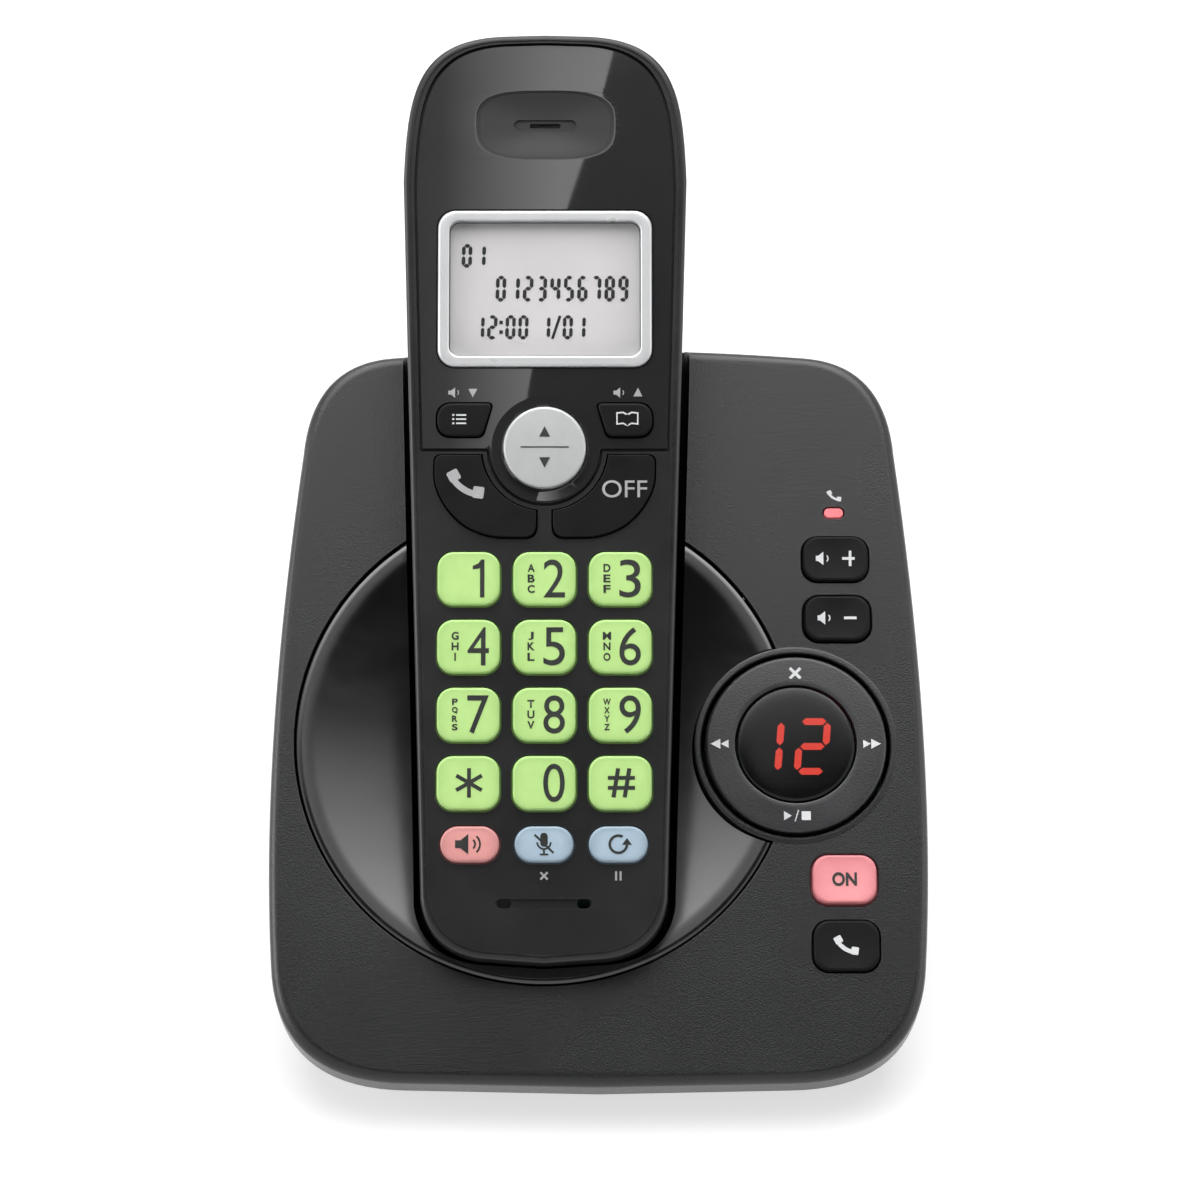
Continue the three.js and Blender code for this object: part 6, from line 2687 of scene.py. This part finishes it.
@dataclass(frozen=True)
class Legends:
    """Every digit, letter and symbol on the handset and the base."""

    letters: tuple[str, ...] = ("", "ABC", "DEF", "GHI", "JKL", "MNO", "PQRS", "TUV", "WXYZ")
    digit_shift: float = 1.75
    digit_width: float = 3.8
    digit_height: float = 6.8
    letter_shift: float = -2.35
    letter_width: float = 1.32
    letter_height: float = 1.42
    letter_pitch: float = 1.88
    letter_weight: float = 0.028
    letter_room: float = 3.2
    menu_signs: tuple[Point, ...] = ((QUARTER_TURN, 95.9), (-QUARTER_TURN, 90.5))
    volume_y: float = 103.3
    label_y: float = 16.8
    ring_reach: float = 13.55

    def build(self, kit: Kit, handset: Handset, base: Base) -> None:
        """Print every legend.

        Args:
            kit: Places, palette and frame of the scene.
            handset: The handset, for its keys.
            base: The base, for its buttons.
        """
        self.number_keys(kit, handset.pad)
        self.function_keys(kit, handset)
        self.screen(kit, handset.face)
        self.base_legends(kit, base)

    def number_keys(self, kit: Kit, pad: KeyPad) -> None:
        """Digits and letter groups on the twelve glowing keys.

        Args:
            kit: Places, palette and frame of the scene.
            pad: Places and sizes of the keys.
        """
        for row, names in enumerate(pad.rows):
            for column, node in enumerate(names):
                x, y = (column - 1) * pad.column_pitch, pad.top_row - row * pad.row_pitch
                index = row * 3 + column
                if node == "key_star":
                    parts = [printed("star_print", placed(Glyphs.star(), x + 0.2, y, 5.2), pad.key_rise)]
                elif node == "key_hash":
                    parts = [printed("hash_print", placed(Glyphs.hash(), x + 0.2, y, 5.2), pad.key_rise)]
                else:
                    digit = node[-1]
                    place = (x + self.digit_shift, y)
                    if digit == "1":
                        parts = [printed("digit", placed(Glyphs.one(), *place, self.digit_height), pad.key_rise)]
                    else:
                        parts = [lettering("digit", digit, *place, self.digit_width, self.digit_height, pad.key_rise)]
                if index < len(self.letters):
                    parts.extend(self.column_of_letters(self.letters[index], x, y, pad.key_rise))
                print_ = merge(node + "_print", parts)
                kit.add(print_, kit.places.grip, node, Look.LEGEND_DARK, "key_black")

    def column_of_letters(self, letters: str, x: float, y: float, top: float) -> list[Mesh]:
        """A column of small letters beside a digit.

        Args:
            letters: The letters from top to bottom.
            x: The key's middle, across.
            y: The key's middle, upwards.
            top: Height of the key's top.

        Returns:
            A print for each letter.
        """
        pitch = self.letter_pitch * min(1.0, self.letter_room / max(len(letters), 1))
        size = pitch / self.letter_pitch
        parts = []
        for i, letter in enumerate(letters):
            wide = self.letter_width * {"I": 0.2, "J": 0.72, "W": 1.3, "M": 1.12}.get(letter, 0.95) * size
            place = (x + self.letter_shift, y + ((len(letters) - 1) / 2 - i) * pitch)
            tall = self.letter_height * size
            parts.append(lettering("letter", letter, *place, wide, tall, top, self.letter_weight))
        return parts

    def function_keys(self, kit: Kit, handset: Handset) -> None:
        """Symbols on and beside the other keys of the handset.

        Args:
            kit: Places, palette and frame of the scene.
            handset: The handset, for its keys.
        """
        grip, pad = kit.places.grip, handset.pad
        call, pill, white = pad.call_rise, pad.pill_rise, Look.LEGEND_WHITE
        on_keys = [
            ("call_list_button", placed(Glyphs.rows(), -15.2, 98.35, 2.5), call, white),
            ("phonebook_button", placed(Glyphs.book(), 14.75, 98.35, 3.4), call, white),
            ("talk_button", placed(Glyphs.handset(), -14.0, 86.6, 6.6), call, Look.LEGEND_GREY),
            ("speakerphone_button", placed(Glyphs.speaker(2), -13.0, 22.3, 4.3), pill, Look.LEGEND_DARK),
            ("mute_button", placed(Glyphs.crossed_microphone(), 0.0, 22.3, 4.4), pill, Look.LEGEND_DARK),
            ("redial_button", placed(Glyphs.again(), 13.1, 22.3, 4.6), pill, Look.LEGEND_DARK),
        ]
        for node, glyph, top, finish in on_keys:
            kit.add(printed(node + "_print", glyph, top), grip, node, finish, "silver")
        off = lettering("off_print", "OFF", 14.25, 85.75, 8.0, 3.1, call)
        kit.add(off, grip, "off_button", Look.LEGEND_GREY, "silver")
        menu = [part for turn, y in self.menu_signs for part in placed(Glyphs.triangle(turn), 0, y, 2.3)]
        line = bar(0, handset.face.lower_edge, 8.6, 0.2)
        menu_print = printed("menu_print", [*menu, line], handset.menu_rise)
        kit.add(menu_print, grip, "menu_button", Look.LEGEND_DARK, "key_black")
        for hand in Hand:
            x = hand.value * 14.75
            speaker = placed(Glyphs.speaker(1), x - 1.1, self.volume_y, 2.2)
            arrow = placed(Glyphs.triangle(hand.value * QUARTER_TURN), x + 1.9, self.volume_y, 1.9)
            label = printed(f"volume_label_{hand.name.lower()}", speaker + arrow, handset.face.rise)
            kit.add(label, grip, "handset", Look.LEGEND_GREY, "silver")
        for name, glyph, x in (("delete_label", Glyphs.cross(), 0.0), ("pause_label", Glyphs.pause(), 13.1)):
            label = printed(name, placed(glyph, x, self.label_y, 1.8), 0.0)
            kit.add(label, grip, "handset", Look.LEGEND_GREY, "silver")

    def screen(self, kit: Kit, face: PlateShape) -> None:
        """Plain digits on the grey display.

        Args:
            kit: Places, palette and frame of the scene.
            face: The faceplate that holds the screen.
        """
        top = face.screen_face
        rows = [
            seven_segment("01", -15.0, 126.3, 1.85, 4.3, 0.66, 2.45, 0.03),
            seven_segment("0123456789", -8.9, 120.1, 1.85, 4.7, 0.66, 2.44, 0.03),
            seven_segment("12:00", -12.7, 113.2, 1.8, 4.4, 0.62, 2.3, 0.03),
            seven_segment("1/01", -0.9, 113.2, 1.8, 4.4, 0.62, 2.3, 0.03),
        ]
        digits = printed("screen_digits", [part for row in rows for part in row], top)
        kit.add(digits, kit.places.grip, "handset", Look.SCREEN_DARK, "key_black")

    def base_legends(self, kit: Kit, base: Base) -> None:
        """Symbols on the base's buttons, ring and lamp, and the red number in the window.

        Args:
            kit: Places, palette and frame of the scene.
            base: The base, for its buttons and ring.
        """
        slope = kit.places.slope
        buttons = {button.node: button for button in base.buttons}
        white = Look.LEGEND_WHITE
        for node, sign in (("volume_up_button", Glyphs.plus()), ("volume_down_button", Glyphs.minus())):
            (x, y), top = buttons[node].centre, buttons[node].rise - 0.2
            glyph = placed(Glyphs.speaker(1), x - 1.9, y, 3.0) + placed(sign, x + 2.7, y, 2.9)
            kit.add(printed(node + "_print", glyph, top), slope, node, white, "silver")
        find = buttons["find_handset_button"]
        glyph = placed(Glyphs.handset(), *find.centre, 4.4)
        kit.add(printed("find_handset_print", glyph, find.rise - 0.2), slope, find.node, white, "silver")
        answer = buttons["answer_button"]
        on = lettering("answer_print", "ON", *answer.centre, 4.4, 2.5, answer.rise - 0.2, 0.03)
        kit.add(on, slope, answer.node, Look.LEGEND_DARK, "key_black")
        use = printed("in_use_label", placed(Glyphs.handset(), 42.9, 108.7, 2.6), 0.0)
        kit.add(use, slope, "base", Look.LEGEND_WHITE, "silver")
        (cx, cy), reach = base.ring.centre, self.ring_reach
        signs = [
            *placed(Glyphs.cross(), cx, cy + reach - 0.45, 2.7),
            *placed(Glyphs.double_arrow(-1), cx - reach, cy, 2.3),
            *placed(Glyphs.double_arrow(1), cx + reach, cy, 2.3),
            *placed(Glyphs.play_stop(), cx + 0.2, cy - reach + 0.3, 2.2),
        ]
        ring_signs = printed("ring_signs", signs, base.ring.rise + base.ring.fall * 0.6)
        kit.add(ring_signs, slope, "control_ring", white, "silver")
        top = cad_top("message_display", slope)
        number = seven_segment("12", 26.75, 57.5, 6.1, 10.5, 1.25, 8.35, 0.083)
        kit.add(printed("message_number", number, top), slope, "base", Look.RED_DIGIT, "lamp_red")


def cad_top(node: str, frame: Matrix) -> float:
    """Height of a construction node's top face in a tilted frame, in millimetres."""
    inverse = frame.inverted()
    return max((inverse @ vertex.co).z for vertex in bpy.data.objects[node].data.vertices)


# Floor, light and camera


def hang(name: str, data: bpy.types.ID) -> bpy.types.Object:
    """Put an object with the given mesh, lamp or camera data in the scene.

    Args:
        name: The object's name.
        data: Its mesh, lamp or camera data.

    Returns:
        The new object.
    """
    thing = bpy.data.objects.new(name, data)
    bpy.context.scene.collection.objects.link(thing)
    return thing


@dataclass(frozen=True)
class Studio:
    """A plain pale floor, soft overhead and side light, and a camera at the photograph's angle."""

    elevation: float = math.radians(44)
    distance: float = 0.9
    lens: float = 149.16
    look_at: tuple[float, float, float] = (0.00027, -0.00084, 0.0545)
    sensor: float = 36.0
    panel_height: float = 1.3
    panel_half_width: float = 0.85
    panel_front: float = -1.2
    panel_back: float = 1.5
    panel_stops: tuple[Point, ...] = (
        (-1.2, 0.02), (-0.56, 0.03), (-0.46, 0.1), (-0.37, 0.6), (-0.3, 1.15), (-0.22, 1.6), (-0.12, 2.3), (0.0, 3.4),
        (0.15, 4.7), (0.5, 5.2), (1.5, 5.2),
    )
    card_height: float = 1.25
    card_left: float = -0.1
    card_edge: tuple[Point, ...] = (
        (0.011, -0.36), (0.006, -0.427), (0.0, -0.453), (-0.007, -0.478), (-0.015, -0.504), (-0.024, -0.545),
        (-0.031, -0.587), (-0.0345, -0.606), (-0.038, -0.635),
    )
    card_stops: tuple[Point, ...] = ((-0.1, 0.1), (-0.067, 0.5), (-0.044, 1.7), (-0.02, 2.9), (0.0, 3.4), (0.02, 3.5))
    lamp_across: float = 1.3
    left_light: float = 8.0
    right_light: float = 2.5
    world_light: float = 0.13

    def build(self) -> None:
        """Set up the floor, the world, the lamps and the camera."""
        bpy.context.scene.view_settings.view_transform = "Standard"
        self.add_floor()
        self.light_world()
        self.add_panel()
        self.add_card()
        for name, side, power in (("left_lamp", -1, self.left_light), ("right_lamp", 1, self.right_light)):
            self.add_lamp(name, (side * self.lamp_across, -0.1, 0.5), (0, 0, 0.06), 0.9, 0.6, power)
        self.add_camera()

    def add_floor(self) -> None:
        """A large pale floor that keeps a soft shadow."""
        deselect()
        bpy.ops.mesh.primitive_plane_add(size=8)
        floor = bpy.context.object
        floor.name = "studio_floor"
        material, tree = new_material("studio_white")
        place = tree.add("TexCoord").outputs["Object"]
        speck = tree.add("TexNoise", Vector=place, Scale=6.0, Detail=2.0)
        colour = tree.blend(speck.outputs[0], (0.84, 0.84, 0.84, 1), (0.88, 0.88, 0.88, 1))
        matte = tree.add("BsdfDiffuse", Color=colour).outputs[0]
        seen_colour = tree.blend(speck.outputs[0], (0.4, 0.4, 0.4, 1), (0.42, 0.42, 0.42, 1))
        seen_matte = tree.add("BsdfDiffuse", Color=seen_colour).outputs[0]
        white = tree.add("Emission", Strength=0.66, Color=WHITE)
        seen = tree.add("AddShader", i0=seen_matte, i1=white.outputs[0]).outputs[0]
        shown = tree.add("MixShader", i0=self.seen_share(tree), i1=matte, i2=seen).outputs[0]
        tree.add("OutputMaterial", Surface=shown)
        floor.data.materials.append(material)

    @staticmethod
    def seen_share(tree: Tree) -> Socket:
        """Find whether a ray comes from the camera, from a gloss or through a lens, which all see the white.

        Args:
            tree: The tree to build in.

        Returns:
            The socket of the share, which is 1 for such a ray.
        """
        rays = tree.add("LightPath").outputs
        share = tree.maths("MAXIMUM", rays["Is Camera Ray"], rays["Is Glossy Ray"])
        return tree.maths("MAXIMUM", share, rays["Is Transmission Ray"]).outputs[0]

    def light_world(self) -> None:
        """An even pale world that is white where it is seen."""
        world = bpy.data.worlds.new("studio_world")
        bpy.context.scene.world = world
        world.use_nodes = True
        tree = Tree(world.node_tree)
        light = tree.add("Background", Strength=self.world_light, Color=(0.97, 0.98, 1, 1))
        white = tree.add("Background", Strength=1.0, Color=WHITE)
        shown = tree.add("MixShader", i0=self.seen_share(tree), i1=light.outputs[0], i2=white.outputs[0])
        tree.add("OutputWorld", Surface=shown.outputs[0])

    def add_panel(self) -> None:
        """A large overhead panel, brightest behind the object and dying away towards the camera."""
        half, front, back = self.panel_half_width, self.panel_front, self.panel_back
        corners = [(-half, front), (half, front), (half, back), (-half, back)]
        self.add_light_card("overhead_panel", corners, self.panel_height, "Y", self.panel_stops)

    def add_card(self) -> None:
        """A small card whose curved edge shows in the polished faceplate."""
        top, bottom = self.card_edge[0][1], self.card_edge[-1][1]
        corners = [*self.card_edge, (self.card_left, bottom), (self.card_left, top)]
        self.add_light_card("edge_card", corners, self.card_height, "X", self.card_stops)

    @staticmethod
    def add_light_card(name: str, corners: Sequence[Point], height: float, along: str, stops: Sequence[Point]) -> None:
        """Hang a flat card that glows downwards.

        Args:
            name: Its name.
            corners: Its outline in metres, seen from above.
            height: The height it hangs at.
            along: The direction in which its strength changes.
            stops: Places in that direction, each with the strength there.
        """
        mesh = bpy.data.meshes.new(name)
        mesh.from_pydata([(x, y, height) for x, y in corners], [], [list(range(len(corners)))])
        card = hang(name, mesh)
        material, tree = new_material(name + "_light")
        place = tree.add("TexCoord").outputs["Object"]
        parts = tree.add("SeparateXYZ", Vector=place).outputs
        start, end = stops[0][0], stops[-1][0]
        most = max(strength for _, strength in stops)
        ramp = tree.add("ValToRGB", Fac=tree.stretch(parts[along], start, end).outputs[0])
        elements = ramp.color_ramp.elements
        shades = [(*[strength / most] * 3, 1) for _, strength in stops]
        elements[0].color, elements[1].color = shades[0], shades[-1]
        for (position, _), shade in zip(stops[1:-1], shades[1:-1]):
            elements.new((position - start) / (end - start)).color = shade
        glow = tree.add("Emission", Strength=tree.maths("MULTIPLY", ramp.outputs["Color"], most), Color=WHITE)
        tree.add("OutputMaterial", Surface=glow.outputs[0])
        mesh.materials.append(material)
        card.visible_camera = False

    @staticmethod
    def add_lamp(
        name: str, place: Sequence[float], aim: Sequence[float], width: float, length: float, power: float
    ) -> None:
        """Add a soft rectangular lamp.

        Args:
            name: Its name.
            place: Where it hangs, in metres.
            aim: The point it faces.
            width: Its width in metres.
            length: Its length in metres.
            power: Its power in watts.
        """
        data = bpy.data.lights.new(name, "AREA")
        data.shape = "RECTANGLE"
        data.size, data.size_y = width, length
        data.energy = power
        lamp = hang(name, data)
        lamp.location = place
        lamp.rotation_euler = (Vector(aim) - Vector(place)).to_track_quat("-Z", "Y").to_euler()

    def add_camera(self) -> None:
        """Set the camera at the photograph's angle and distance."""
        data = bpy.data.cameras.new("camera")
        data.lens, data.sensor_width = self.lens, self.sensor
        camera = hang("camera", data)
        aim = Vector(self.look_at)
        camera.location = aim + self.distance * Vector((0, -math.cos(self.elevation), math.sin(self.elevation)))
        camera.rotation_euler = (aim - camera.location).to_track_quat("-Z", "Y").to_euler()
        bpy.context.scene.camera = camera


KEPT_NODES: dict[Finish, tuple[str, ...]] = {
    Look.SCREEN: ("lcd_module",),
    Look.DISPLAY_BLACK: ("message_display", "handset_microphone"),
    Look.RUBBER: (
        "ring_rubber_pad", "base_key_mat", "handset_key_mat", "rubber_foot_front_left", "rubber_foot_front_right",
        "rubber_foot_back_left", "rubber_foot_back_right",
    ),
    Look.BOARD: ("base_circuit_board", "handset_circuit_board"),
    Look.STEEL: ("case_screw_left", "case_screw_right", "base_speaker", "earpiece_speaker", "handset_loudspeaker"),
    Look.BRASS: ("charge_contact_left", "charge_contact_right", "handset_contact_left", "handset_contact_right"),
    Look.SLEEVE: ("battery_pack",),
    Look.KEY_DARK: ("power_jack", "line_jack"),
}


def main(frame: dict) -> None:
    """Build the whole scene.

    Args:
        frame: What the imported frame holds.
    """
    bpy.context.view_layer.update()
    base = Base()
    places = Places.from_joints(frame["joints"], base.ring.centre, base.handset.origin)
    slots = {material.get("slot") for material in frame["record"]["materials"]}
    kit = Kit(places, Palette(), slots)
    base.build(kit)
    handset = Handset()
    handset.build(kit)
    Legends().build(kit, handset, base)
    for finish, nodes in KEPT_NODES.items():
        for node in nodes:
            kit.dress(node, finish)
    Studio().build()
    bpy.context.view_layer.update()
    LOG.info("%d pieces in all", kit.count)


if __name__ == "__main__":
    main(frame)
